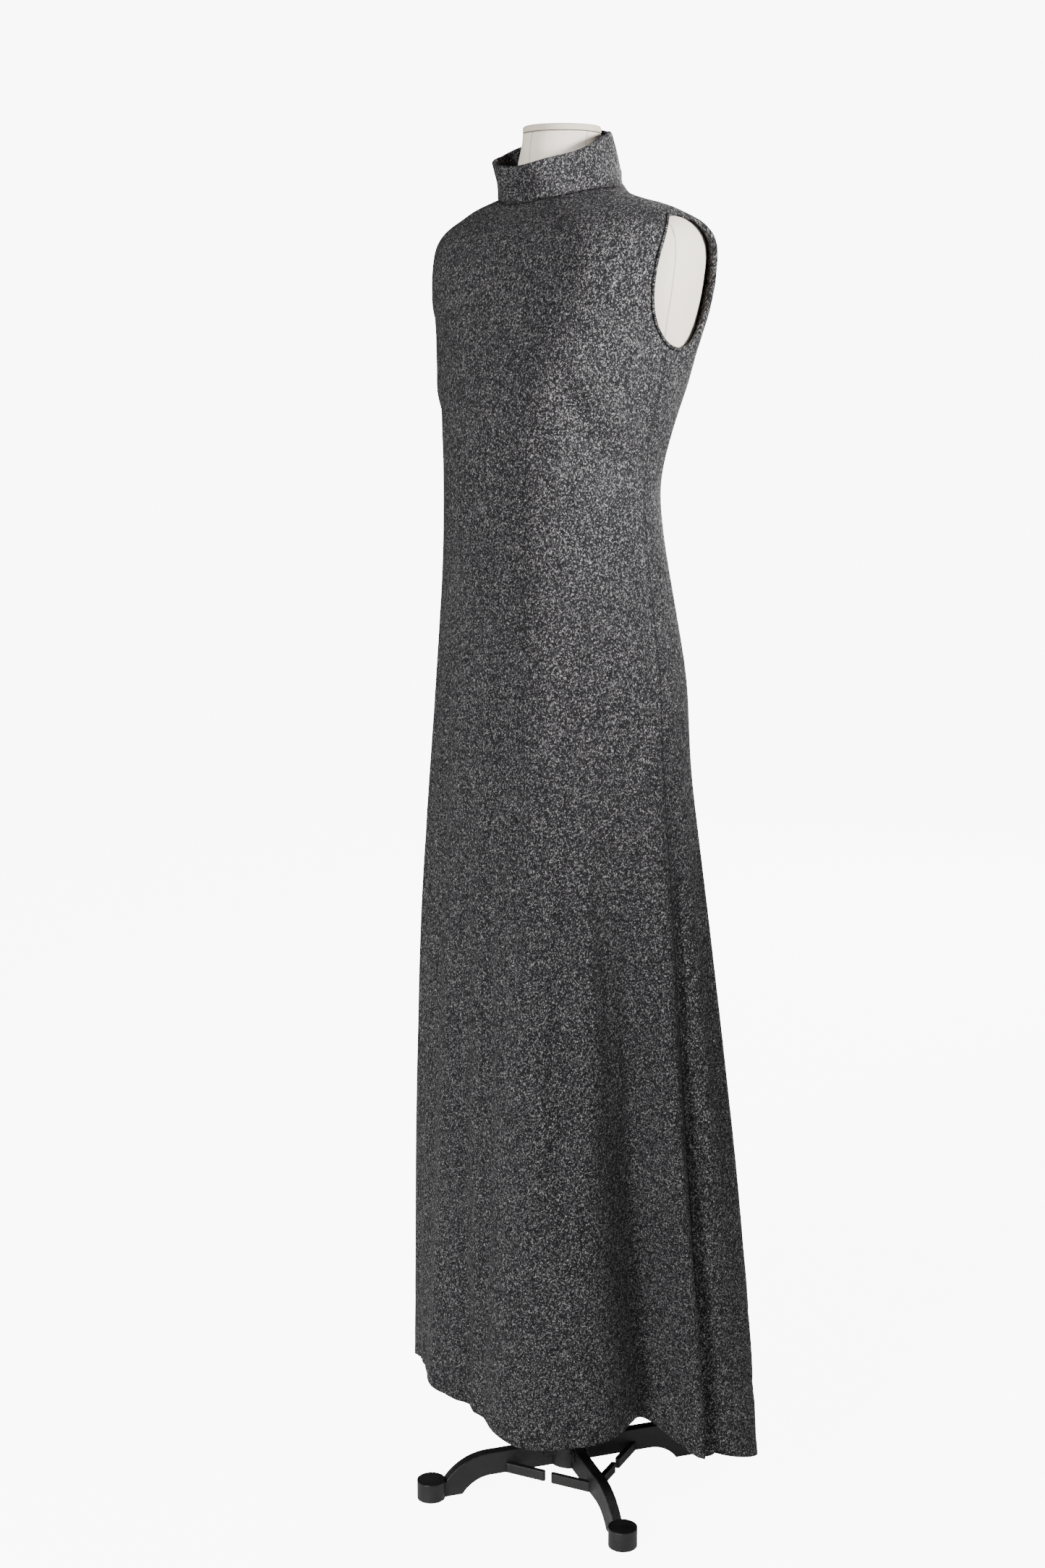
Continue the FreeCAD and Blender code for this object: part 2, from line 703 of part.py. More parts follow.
inner_inset = shell_inset + value("shell_wall + board_clearance")
up = V(0, 0, 1)
board = Part.Face(girth_section("rim", inner_inset, value("board_inset"))).extrude(up * value("board_thickness"))
board_holes = [
    Part.makeCylinder(value(f"{socket_radius} + part_clearance"), value("board_thickness") + 2 * past,
                      V(0, 0, value(board_bottom) - past))
]
for quarter in range(4):
    angle = math.radians(90 * quarter + 45)
    spot = V(math.cos(angle), math.sin(angle), 0) * value("flange_screw_circle")
    board_holes.append(Part.makeCylinder(value("wood_screw_radius + part_clearance"), value(screw_length) + past,
                                         spot + up * value(flange_bottom)))
add_shape(board.cut(board_holes), "base_board")
block_height = value("neck_block_height")
block_outline = girth_section("neck_end", inner_inset + value("neck_block_inset"), -block_height)
add_shape(Part.Face(block_outline).extrude(up * block_height), "neck_block")
cap = Part.Face(girth_section("neck_end", 0.0, value("cap_gap"))).extrude(up * value("cap_thickness"))
cap_top = max(edge.CenterOfMass.z for edge in cap.Edges)
cap = cap.makeFillet(value("cap_rounding"), [e for e in cap.Edges if abs(e.CenterOfMass.z - cap_top) < 0.01])
add_shape(cap, "neck_cap")

# ---- gown: front panel, two back panels and a funnel neck ----


def gown_rows():
    """The gown's sections from below its hem to its neck seam."""
    skirt = [("hem", "hem_back_height - hem_spare"), ("knee", "torso_base_height - knee_drop"),
             ("thigh", "torso_base_height - thigh_drop")]
    rows = [[value(name + "_half_width"), value(name + "_front"), value(name + "_back"), 2.0, value(height)]
            for name, height in skirt]
    for row in GOWN_ROOM:
        name = row[0]
        rows.append([
            value(f"{name}_half_width + {name}_side_room"),
            value(f"{name}_front + {name}_front_room"),
            value(f"{name}_back + gown_ease"),
            value(name + "_square"),
            value(f"torso_base_height + {name}_rise"),
        ])
    return rows


def funnel_cone(inward, below, above):
    """The funnel neck's cone, drawn in by a distance and run on below its seam and above its edge."""
    tall = value("funnel_height")
    taper = (value("funnel_top_radius") - value("funnel_base_radius")) / tall
    low = value("funnel_base_radius") - inward - taper * below
    high = value("funnel_top_radius") - inward + taper * above
    cone = Part.makeCone(low, high, tall + below + above, V(0, 0, -below))
    cone.Placement = FreeCAD.Placement(
        V(0, -value("funnel_forward"), value("torso_base_height + funnel_rise")),
        FreeCAD.Rotation(V(1, 0, 0), value("funnel_tilt")),
    )
    return cone


def armhole(side):
    """The opening that the arm end shows through: a long ellipse pushed out through the side of the bodice."""
    reach = value("arm_half_width")
    middle = V(side * reach / 2, value("armhole_back"), value("torso_base_height + armhole_rise"))
    tall, wide = value("armhole_half_height"), value("armhole_half_width")
    rim = Part.Ellipse(middle + V(0, 0, tall), middle + V(0, wide, 0), middle)
    return Part.Face(Part.Wire([rim.toShape()])).extrude(V(side * reach, 0, 0))


thickness = value("gown_thickness")
gown = smooth_wall(gown_rows(), 0.0, thickness)
slope = math.atan2(value("hem_front_height") - value("hem_back_height"), value("hem_front") + value("hem_back"))
below_hem = Part.makeBox(2 * BEYOND, 2 * BEYOND, BEYOND, V(-BEYOND, -BEYOND, -BEYOND))
below_hem.Placement = FreeCAD.Placement(
    V(0, -value("hem_front"), value("hem_front_height")), FreeCAD.Rotation(V(1, 0, 0), -math.degrees(slope))
)
gown = gown.cut([below_hem, funnel_cone(thickness, value("funnel_skirt"), 0.0), armhole(1), armhole(-1)])
seam_gap = value("gown_seam_gap")
add_shape(side_of(gown, 1, False, seam_gap), "gown_front")
gown_back = side_of(gown, 1, True, seam_gap)
add_shape(side_of(gown_back, 0, True, seam_gap), "gown_back_left")
add_shape(side_of(gown_back, 0, False, seam_gap), "gown_back_right")
funnel_outside = funnel_cone(0.0, value("funnel_skirt"), 0.0)
funnel = funnel_outside.cut(funnel_cone(thickness, value("funnel_skirt") + past, past))
add_shape(funnel.cut(smooth_solid(gown_rows(), -seam_gap)), "gown_funnel")

# ---- checks, then one STEP file for each sub-part ----

doc.recompute()
faults = [f"{thing.Name}: {thing.State}" for thing in doc.Objects if {"Invalid", "Error"} & set(thing.State)]
for thing in SUB_PARTS:
    if thing.Shape.isNull() or not thing.Shape.isValid() or not thing.Shape.Solids:
        faults.append(f"{thing.Label}: no valid solid")
if faults:
    raise RuntimeError("; ".join(faults))
os.makedirs("parts", exist_ok=True)
for thing in SUB_PARTS:
    thing.Shape.exportStep(f"parts/{thing.Label}.step")
    print(f"{thing.Label}: {len(thing.Shape.Solids)} solid(s), {thing.Shape.Volume / 1000:.2f} cm3")
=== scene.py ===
"""A dress form in a long metallic-knit gown: the looks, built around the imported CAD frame."""

import json
import math

import bmesh
import bpy
import numpy as np
from mathutils import Matrix, Vector
from mathutils.bvhtree import BVHTree

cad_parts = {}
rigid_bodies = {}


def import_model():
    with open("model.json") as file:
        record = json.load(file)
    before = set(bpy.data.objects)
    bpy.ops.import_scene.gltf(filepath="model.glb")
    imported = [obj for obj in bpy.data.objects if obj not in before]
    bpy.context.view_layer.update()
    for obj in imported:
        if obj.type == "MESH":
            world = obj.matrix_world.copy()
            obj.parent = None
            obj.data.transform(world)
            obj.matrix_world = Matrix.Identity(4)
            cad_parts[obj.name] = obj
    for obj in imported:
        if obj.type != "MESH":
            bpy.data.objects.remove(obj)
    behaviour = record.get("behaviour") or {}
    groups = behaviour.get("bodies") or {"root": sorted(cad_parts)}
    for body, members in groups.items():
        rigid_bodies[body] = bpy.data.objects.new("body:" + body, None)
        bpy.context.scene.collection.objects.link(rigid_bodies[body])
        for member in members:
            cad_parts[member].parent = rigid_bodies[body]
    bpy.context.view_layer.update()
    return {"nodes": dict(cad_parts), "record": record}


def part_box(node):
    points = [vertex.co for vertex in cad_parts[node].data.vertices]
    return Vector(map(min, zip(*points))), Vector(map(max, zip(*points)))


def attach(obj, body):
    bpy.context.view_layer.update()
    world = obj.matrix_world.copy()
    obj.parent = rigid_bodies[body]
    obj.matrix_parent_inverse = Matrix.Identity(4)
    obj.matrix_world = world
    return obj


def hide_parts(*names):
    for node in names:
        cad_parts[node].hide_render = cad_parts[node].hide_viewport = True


# ---- sizes, in metres and degrees; bearings are about the pole, 0 at the form's left, -90 at its front ----

LENS = 50.3
SENSOR = 36.0
CAMERA_PLACE = (1.819, -1.716, 1.3386)
CAMERA_TILT = 79.29
VIEW_AZIMUTH = 48.0
FILL_STRENGTH = 0.10
BACKDROP_STRENGTH = 9.0
FLOOR_BOUNCE = 0.15

NECK_FORWARD = 0.022
FUNNEL_BASE_LEVEL = 1.534
FUNNEL_BASE_RADIUS = 0.068
FUNNEL_TOP_RADIUS = 0.065
FUNNEL_TILT = 15.0
FUNNEL_WALL = 0.0024
FUNNEL_LOW_SIDE = 0.040
FUNNEL_HIGH_SIDE = 0.050

SHOULDER_LEVEL = 1.465
WAIST_LEVEL = 1.200
TORSO_BASE_LEVEL = 0.902
COVER_ROOM = 0.004
HEM_FRONT_LEVEL = 0.170
HEM_BACK_LEVEL = 0.052
HEM_FRONT_REACH = 0.181
HEM_BACK_REACH = 0.233
HEM_CENTRE = 0.026
CLOTH = 0.0011
GOWN_COLUMNS = 176
SHOULDER_ROWS = 24
BODICE_ROWS = 30
SKIRT_ROWS = 104

ARMHOLE_BACK = -0.003
ARMHOLE_LEVEL = 1.430
ARMHOLE_HALF_WIDTH = 0.047
ARMHOLE_HALF_HEIGHT = 0.070
ARMHOLE_GAPE = 0.008
RIGHT_FRONT_GAPE = 0.009
FACING_DEPTH = 0.012
FACING_COLUMNS = 96
HEM_DEPTH_ROWS = 3

# soft folds of the skirt: bearing, half width in degrees, depth at the hem, and the level where each dies out
FOLDS = [
    (-60, 16, 0.026, 1.06),
    (-17, 15, -0.056, 1.20),
    (-5, 5, 0.024, 1.10),
    (2, 3.5, -0.014, 1.00),
    (20, 12, 0.013, 0.90),
    (44, 12, -0.020, 0.80),
    (68, 14, 0.018, 0.78),
    (92, 9, -0.016, 0.84),
    (116, 14, 0.017, 0.80),
    (142, 12, -0.021, 0.82),
    (168, 13, 0.014, 0.88),
    (-170, 10, -0.013, 0.84),
    (-150, 14, 0.008, 0.90),
    (-128, 12, -0.007, 0.88),
    (-88, 3.5, -0.006, 0.62),
    (-77, 3.0, -0.005, 0.66),
    (-102, 8, 0.007, 0.80),
]

# how far the hem hangs below (-) or above (+) its plane: bearing, half width in degrees, drop
HEM_DROPS = [
    (-64, 15, -0.010),
    (-20, 15, 0.022),
    (-4, 5, -0.010),
    (30, 24, -0.010),
    (-118, 14, 0.014),
    (116, 22, 0.008),
]

# section of the cloth turned in round an armhole: how much wider than the armhole, as a share, and how far out
# in metres, or how far in as a share of the room behind it
FACING_STEPS = [
    (0.05, 0.0010),
    (0.01, 0.0012),
    (-0.022, 0.0),
    (-0.012, -0.25),
    (0.03, -0.6),
    (0.12, -0.95),
    (0.3, -1.0),
]

# drag lines of the bodice: start and end as bearing and level, half width across, depth
DRAG_LINES = [
    ((-44, 1.325), (-10, 1.205), 0.010, -0.0048),
    ((-40, 1.352), (-2, 1.238), 0.009, 0.0036),
    ((-30, 1.352), (2, 1.270), 0.007, -0.0026),
    ((-50, 1.290), (-18, 1.165), 0.013, 0.0034),
    ((-138, 1.310), (-170, 1.205), 0.012, -0.0030),
    ((-142, 1.335), (-178, 1.238), 0.011, 0.0022),
    ((60, 1.300), (22, 1.190), 0.012, -0.0040),
    ((120, 1.300), (158, 1.190), 0.012, -0.0040),
    ((72, 1.240), (40, 1.150), 0.014, 0.0036),
    ((108, 1.240), (140, 1.150), 0.014, 0.0036),
]

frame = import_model()
NODES = frame["nodes"]


# ---- small helpers ----


def deselect():
    """Nothing selected and object mode on, so that an operator acts only on what is picked next."""
    if bpy.context.object and bpy.context.object.mode != "OBJECT":
        bpy.ops.object.mode_set(mode="OBJECT")
    for thing in bpy.context.view_layer.objects:
        thing.select_set(False)


def pick(thing):
    deselect()
    thing.select_set(True)
    bpy.context.view_layer.objects.active = thing


def ramp(value, start, end):
    """0 at start, 1 at end, with soft ends."""
    share = np.clip((value - start) / (end - start), 0.0, 1.0)
    return share * share * (3 - 2 * share)


def bump_at(distance, half_width):
    """A smooth bump that is 1 at no distance and fades out over about two half widths."""
    return np.exp(-((distance / half_width) ** 2))


def turn_between(a, b):
    """The smaller turn between two bearings, in degrees."""
    return (a - b + 180.0) % 360.0 - 180.0


def mesh_piece(name, points, faces, material):
    """A new piece from points and faces, smooth all over."""
    data = bpy.data.meshes.new(name)
    data.from_pydata([tuple(p) for p in points], [], faces)
    data.update()
    piece = bpy.data.objects.new(name, data)
    bpy.context.scene.collection.objects.link(piece)
    data.materials.append(material)
    data.shade_smooth()
    return piece


def apply_all(piece):
    pick(piece)
    for modifier in list(piece.modifiers):
        bpy.ops.object.modifier_apply(modifier=modifier.name)


def thicken(piece, thickness):
    """Gives a skin its thickness, inward."""
    wall = piece.modifiers.new("wall", "SOLIDIFY")
    wall.thickness = thickness
    wall.offset = -1.0
    wall.use_even_offset = False
    apply_all(piece)


def grid_faces(rows, columns):
    """Quads of a grid of rows of points, whose last column joins the first."""
    faces = []
    for row in range(rows - 1):
        for column in range(columns):
            beside = (column + 1) % columns
            here, below = row * columns, (row + 1) * columns
            faces.append((here + column, below + column, below + beside, here + beside))
    return faces


def surface_tree(*names):
    """A search tree over CAD nodes' surfaces."""
    points, faces = [], []
    for name in names:
        data = NODES[name].data
        start = len(points)
        points += [v.co.copy() for v in data.vertices]
        faces += [tuple(start + i for i in p.vertices) for p in data.polygons]
    return BVHTree.FromPolygons(points, faces)


def centre_line(level):
    """The y of the line that the gown's bearings are taken about, at a level."""
    low = float(ramp(level, 1.0, 0.15))
    return -NECK_FORWARD + (HEM_CENTRE + NECK_FORWARD) * low


def outermost(tree, bearing, level, lowest=0.0):
    """The outermost point of a surface at a bearing and level, or at the lowest level it is known at."""
    for nudge in (0.0, 0.15, -0.15, 0.4, -0.4):
        turn = math.radians(bearing + nudge)
        out = Vector((math.cos(turn), math.sin(turn), 0.0))
        middle = Vector((0.0, centre_line(level), max(level, lowest) + nudge * 0.001))
        hit = tree.ray_cast(middle + out, -out)[0]
        if hit and (hit - middle).length < 1.0 and (hit - middle).dot(out) > 0.0:
            return Vector((hit.x, hit.y, level))
    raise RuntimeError(f"no surface at bearing {bearing:.1f} and level {level:.3f}")


# ---- node groups and materials ----


class Nodes:
    """Short forms for wiring one node tree."""

    def __init__(self, tree):
        self.tree = tree
        self.count = 0

    def add(self, kind, **settings):
        node = self.tree.nodes.new(kind)
        node.location = (220 * (self.count % 8), -260 * (self.count // 8))
        self.count += 1
        for name, value in settings.items():
            setattr(node, name, value)
        return node

    def join(self, out, into):
        self.tree.links.new(out, into)

    def feed(self, socket, value):
        if isinstance(value, bpy.types.NodeSocket):
            self.join(value, socket)
        else:
            socket.default_value = value

    def maths(self, operation, a, b=0.0):
        node = self.add("ShaderNodeMath", operation=operation)
        self.feed(node.inputs[0], a)
        self.feed(node.inputs[1], b)
        return node.outputs[0]

    def between(self, value, low, high, out_low=0.0, out_high=1.0):
        node = self.add("ShaderNodeMapRange", interpolation_type="SMOOTHSTEP")
        self.feed(node.inputs["Value"], value)
        ends = {"From Min": low, "From Max": high, "To Min": out_low, "To Max": out_high}
        for name, amount in ends.items():
            node.inputs[name].default_value = amount
        return node.outputs["Result"]

    def noise(self, vector, scale, detail=3.0, roughness=0.5, distortion=0.0):
        node = self.add("ShaderNodeTexNoise")
        self.feed(node.inputs["Vector"], vector)
        for name, amount in (
            ("Scale", scale), ("Detail", detail), ("Roughness", roughness), ("Distortion", distortion)
        ):
            self.feed(node.inputs[name], amount)
        return node.outputs["Fac"]

    def stretch(self, vector, scale, turn=(0.0, 0.0, 0.0)):
        node = self.add("ShaderNodeMapping")
        self.feed(node.inputs["Vector"], vector)
        node.inputs["Scale"].default_value = scale
        node.inputs["Rotation"].default_value = turn
        return node.outputs["Vector"]

    def colours(self, value, stops):
        node = self.add("ShaderNodeValToRGB")
        elements = node.color_ramp.elements
        while len(elements) < len(stops):
            elements.new(0.5)
        for element, (place, colour) in zip(elements, stops):
            element.position = place
            element.color = (*colour, 1.0)
        self.feed(node.inputs["Fac"], value)
        return node.outputs["Color"]

    def blend(self, share, a, b):
        node = self.add("ShaderNodeMix", data_type="RGBA")
        self.feed(node.inputs["Factor"], share)
        self.feed(node.inputs[6], a if isinstance(a, bpy.types.NodeSocket) else (*a, 1.0))
        self.feed(node.inputs[7], b if isinstance(b, bpy.types.NodeSocket) else (*b, 1.0))
        return node.outputs[2]


def new_group(name, inputs, outputs):
    """An empty shader node group with named sockets; each row is name, socket kind and default."""
    group = bpy.data.node_groups.new(name, "ShaderNodeTree")
    for label, kind, default in inputs:
        socket = group.interface.new_socket(label, in_out="INPUT", socket_type="NodeSocket" + kind)
        if default is not None:
            socket.default_value = default
    for label, kind in outputs:
        group.interface.new_socket(label, in_out="OUTPUT", socket_type="NodeSocket" + kind)
    nodes = Nodes(group)
    return group, nodes, nodes.add("NodeGroupInput"), nodes.add("NodeGroupOutput")


def make_uneven_tone():
    """Slow changes of tone over a surface, and fine grain, both as masks."""
    group, nodes, given, out = new_group(
        "uneven_tone",
        [("Place", "Vector", None), ("Patch Scale", "Float", 9.0), ("Grain Scale", "Float", 900.0)],
        [("Patches", "Float"), ("Grain", "Float")],
    )
    patches = nodes.noise(given.outputs["Place"], given.outputs["Patch Scale"], 4.0, 0.55)
    grain = nodes.noise(given.outputs["Place"], given.outputs["Grain Scale"], 2.0, 0.6)
    nodes.join(nodes.between(patches, 0.3, 0.7), out.inputs["Patches"])
    nodes.join(nodes.between(grain, 0.25, 0.75), out.inputs["Grain"])
    return group


def make_edge_wear():
    """A mask that is bright along a solid's edges and broken up by noise."""
    group, nodes, given, out = new_group(
        "edge_wear",
        [("Place", "Vector", None), ("Width", "Float", 0.0012), ("Breaks", "Float", 160.0)],
        [("Mask", "Float")],
    )
    soft = nodes.add("ShaderNodeBevel", samples=4)
    nodes.join(given.outputs["Width"], soft.inputs["Radius"])
    flat = nodes.add("ShaderNodeNewGeometry")
    likeness = nodes.add("ShaderNodeVectorMath", operation="DOT_PRODUCT")
    nodes.join(soft.outputs["Normal"], likeness.inputs[0])
    nodes.join(flat.outputs["Normal"], likeness.inputs[1])
    edge = nodes.between(likeness.outputs["Value"], 0.995, 0.80)
    broken = nodes.between(nodes.noise(given.outputs["Place"], given.outputs["Breaks"], 4.0, 0.6), 0.42, 0.62)
    nodes.join(nodes.maths("MULTIPLY", edge, broken), out.inputs["Mask"])
    return group


def make_knit_stitches():
    """Rows of small knitted loops on a cloth map in metres: a height and a mask of the gaps between them."""
    group, nodes, given, out = new_group(
        "knit_stitches",
        [("Cloth", "Vector", None), ("Stitch", "Float", 0.0012)],
        [("Height", "Float"), ("Gaps", "Float")],
    )
    across = nodes.add("ShaderNodeSeparateXYZ")
    nodes.join(given.outputs["Cloth"], across.inputs[0])
    pitch = nodes.maths("DIVIDE", 2 * math.pi, given.outputs["Stitch"])
    wales = nodes.maths("ABSOLUTE", nodes.maths("SINE", nodes.maths("MULTIPLY", across.outputs["X"], pitch)))
    slant = nodes.maths("MULTIPLY", wales, given.outputs["Stitch"])
    risen = nodes.maths("ADD", across.outputs["Y"], slant)
    courses = nodes.maths("ABSOLUTE", nodes.maths("SINE", nodes.maths("MULTIPLY", risen, pitch)))
    height = nodes.maths("MULTIPLY", wales, courses)
    nodes.join(height, out.inputs["Height"])
    nodes.join(nodes.between(height, 0.35, 0.0), out.inputs["Gaps"])
    return group


def make_seam_line():
    """A sewn seam from a map of the distance to it: a groove and a mask of its stitches."""
    group, nodes, given, out = new_group(
        "seam_line",
        [("Distance", "Float", 1.0), ("Along", "Float", 0.0), ("Half Width", "Float", 0.0011),
         ("Pitch", "Float", 0.0035)],
        [("Groove", "Float"), ("Stitches", "Float")],
    )
    distance = nodes.maths("ABSOLUTE", given.outputs["Distance"])
    away = nodes.maths("DIVIDE", distance, given.outputs["Half Width"])
    groove = nodes.between(away, 1.0, 0.1)
    beat = nodes.maths("FRACT", nodes.maths("DIVIDE", given.outputs["Along"], given.outputs["Pitch"]))
    dash = nodes.maths("MULTIPLY", nodes.between(beat, 0.05, 0.18), nodes.between(beat, 0.75, 0.62))
    thread = nodes.between(away, 0.55, 0.35)
    nodes.join(groove, out.inputs["Groove"])
    nodes.join(nodes.maths("MULTIPLY", thread, dash), out.inputs["Stitches"])
    return group


TONE = make_uneven_tone()
WEAR = make_edge_wear()
KNIT = make_knit_stitches()
SEAM = make_seam_line()


def placed(nodes, group, **values):
    """A node group set in a material with its own values."""
    node = nodes.add("ShaderNodeGroup")
    node.node_tree = group
    for name, value in values.items():
        nodes.feed(node.inputs[name.replace("_", " ")], value)
    return node


def new_material(name, **fixed):
    """A material with one Principled shader; fixed values go straight on its sockets."""
    material = bpy.data.materials.new(name)
    material.use_nodes = True
    material.node_tree.nodes.clear()
    nodes = Nodes(material.node_tree)
    shader = nodes.add("ShaderNodeBsdfPrincipled")
    surface = nodes.add("ShaderNodeOutputMaterial")
    nodes.join(shader.outputs["BSDF"], surface.inputs["Surface"])
    for label, value in fixed.items():
        shader.inputs[label.replace("_", " ")].default_value = value
    place = nodes.add("ShaderNodeTexCoord").outputs["Object"]
    return material, nodes, shader, place


def raise_surface(nodes, shader, height, distance, strength=1.0, under=None):
    bump = nodes.add("ShaderNodeBump")
    bump.inputs["Distance"].default_value = distance
    bump.inputs["Strength"].default_value = strength
    nodes.join(height, bump.inputs["Height"])
    if under is not None:
        nodes.join(under, bump.inputs["Normal"])
    nodes.join(bump.outputs["Normal"], shader.inputs["Normal"])
    return bump.outputs["Normal"]


def cloth_map(nodes):
    """The piece's own cloth map, in metres, and its two parts."""
    cloth = nodes.add("ShaderNodeUVMap", uv_map="cloth").outputs["UV"]
    parts = nodes.add("ShaderNodeSeparateXYZ")
    nodes.join(cloth, parts.inputs[0])
    return cloth, parts.outputs["X"], parts.outputs["Y"]


def metallic_knit():
    """Black knit with bright metal yarn caught in it: dense flecks of silver, grey and black."""
    material, nodes, shader, place = new_material("metallic_knit", Specular_IOR_Level=0.2)
    cloth, across, along = cloth_map(nodes)
    wander = nodes.add("ShaderNodeTexNoise")
    nodes.join(cloth, wander.inputs["Vector"])
    wander.inputs["Scale"].default_value = 380.0
    wander.inputs["Detail"].default_value = 2.0
    shift = nodes.add("ShaderNodeVectorMath", operation="SCALE")
    nodes.join(wander.outputs["Color"], shift.inputs[0])
    shift.inputs["Scale"].default_value = 0.0018
    moved = nodes.add("ShaderNodeVectorMath", operation="ADD")
    nodes.join(cloth, moved.inputs[0])
    nodes.join(shift.outputs[0], moved.inputs[1])
    flecks = nodes.add("ShaderNodeTexVoronoi", voronoi_dimensions="2D")
    nodes.join(nodes.stretch(moved.outputs[0], (1.25, 0.8, 1.0)), flecks.inputs["Vector"])
    flecks.inputs["Scale"].default_value = 980.0
    pick_one = nodes.add("ShaderNodeSeparateColor")
    nodes.join(flecks.outputs["Color"], pick_one.inputs[0])
    twist = nodes.noise(cloth, 1500.0, 1.0, 0.5)
    tone = placed(nodes, TONE, Place=place, Patch_Scale=14.0, Grain_Scale=260.0)
    level = nodes.maths("ADD", pick_one.outputs[0], nodes.maths("MULTIPLY", twist, 0.30))
    level = nodes.maths("ADD", level, nodes.maths("MULTIPLY", tone.outputs["Grain"], 0.16))
    level = nodes.maths("SUBTRACT", level, 0.36)
    colour = nodes.colours(
        level,
        [
            (0.00, (0.006, 0.006, 0.007)),
            (0.34, (0.014, 0.014, 0.016)),
            (0.52, (0.040, 0.039, 0.041)),
            (0.70, (0.125, 0.122, 0.124)),
            (0.86, (0.300, 0.292, 0.290)),
            (0.98, (0.620, 0.600, 0.580)),
        ],
    )
    seam = nodes.add("ShaderNodeAttribute", attribute_name="seam_distance").outputs["Fac"]
    sewn = placed(nodes, SEAM, Distance=seam, Along=along, Half_Width=0.0022, Pitch=0.004)
    hem_line = placed(nodes, SEAM, Distance=nodes.maths("SUBTRACT", along, 0.014), Along=across,
                      Half_Width=0.0016, Pitch=0.006)
    hem_shade = nodes.maths("MULTIPLY", hem_line.outputs["Groove"], 0.6)
    shade = nodes.maths("MAXIMUM", sewn.outputs["Groove"], hem_shade)
    # painted shade: the knit's colour is darkened nearly to black along the seam and hem grooves, where shade
    # falls in them
    colour = nodes.blend(nodes.maths("MULTIPLY", shade, 0.75), colour, (0.008, 0.008, 0.009))
    nodes.join(colour, shader.inputs["Base Color"])
    shine = nodes.between(level, 0.5, 0.85)
    nodes.join(nodes.maths("MULTIPLY", shine, 0.75), shader.inputs["Metallic"])
    nodes.join(nodes.between(level, 0.4, 0.95, 0.82, 0.36), shader.inputs["Roughness"])
    yarn = nodes.maths("SUBTRACT", level, flecks.outputs["Distance"])
    loops = placed(nodes, KNIT, Cloth=cloth, Stitch=0.0019)
    yarn = nodes.maths("ADD", yarn, nodes.maths("MULTIPLY", loops.outputs["Height"], 0.5))
    under = raise_surface(nodes, shader, yarn, 0.0005, 0.8)
    dip = nodes.maths("SUBTRACT", 1.0, shade)
    raise_surface(nodes, shader, dip, 0.0012, 0.9, under)
    return material


def cream_jersey():
    """Fine cream cotton jersey stretched over the form, with sewn seams."""
    material, nodes, shader, place = new_material("cream_jersey", Sheen_Weight=0.25, Sheen_Roughness=0.6)
    cloth, across, along = cloth_map(nodes)
    tone = placed(nodes, TONE, Place=place, Patch_Scale=11.0, Grain_Scale=1400.0)
    loops = placed(nodes, KNIT, Cloth=cloth, Stitch=0.0011)
    colour = nodes.blend(tone.outputs["Patches"], (0.87, 0.77, 0.65), (0.91, 0.82, 0.71))
    # painted shade: the gaps between the knit loops are darkened, standing in for the shade that falls in them
    colour = nodes.blend(nodes.maths("MULTIPLY", loops.outputs["Gaps"], 0.22), colour, (0.55, 0.46, 0.36))
    seam = nodes.add("ShaderNodeAttribute", attribute_name="seam_distance").outputs["Fac"]
    sewn = placed(nodes, SEAM, Distance=seam, Along=along, Half_Width=0.0014, Pitch=0.0032)
    # painted shade: the jersey is darkened along each seam's groove, where shade falls in the crease
    colour = nodes.blend(nodes.maths("MULTIPLY", sewn.outputs["Groove"], 0.55), colour, (0.42, 0.35, 0.28))
    colour = nodes.blend(sewn.outputs["Stitches"], colour, (0.88, 0.82, 0.72))
    nodes.join(colour, shader.inputs["Base Color"])
    nodes.join(nodes.between(tone.outputs["Grain"], 0.0, 1.0, 0.78, 0.9), shader.inputs["Roughness"])
    under = raise_surface(nodes, shader, loops.outputs["Height"], 0.00018, 0.6)
    sewing = nodes.maths("SUBTRACT", sewn.outputs["Stitches"], sewn.outputs["Groove"])
    raise_surface(nodes, shader, sewing, 0.0009, 0.9, under)
    return material


def black_iron():
    """Cast iron legs in worn black enamel: a little orange peel, bare edges and dust."""
    material, nodes, shader, place = new_material("black_iron", Specular_IOR_Level=0.5)
    tone = placed(nodes, TONE, Place=place, Patch_Scale=26.0, Grain_Scale=700.0)
    worn = placed(nodes, WEAR, Place=place, Width=0.0016, Breaks=150.0)
    colour = nodes.blend(tone.outputs["Patches"], (0.009, 0.009, 0.0095), (0.020, 0.0195, 0.019))
    colour = nodes.blend(nodes.maths("MULTIPLY", worn.outputs["Mask"], 0.55), colour, (0.085, 0.078, 0.070))
    nodes.join(colour, shader.inputs["Base Color"])
    nodes.join(nodes.between(tone.outputs["Patches"], 0.0, 1.0, 0.34, 0.52), shader.inputs["Roughness"])
    nodes.join(nodes.maths("MULTIPLY", worn.outputs["Mask"], 0.6), shader.inputs["Metallic"])
    peel = nodes.noise(place, 210.0, 3.0, 0.55)
    height = nodes.maths("ADD", peel, nodes.maths("MULTIPLY", tone.outputs["Grain"], 0.18))
    rounded = nodes.add("ShaderNodeBevel", samples=6)
    rounded.inputs["Radius"].default_value = 0.0024
    raise_surface(nodes, shader, height, 0.0009, 0.55, rounded.outputs[0])
    return material


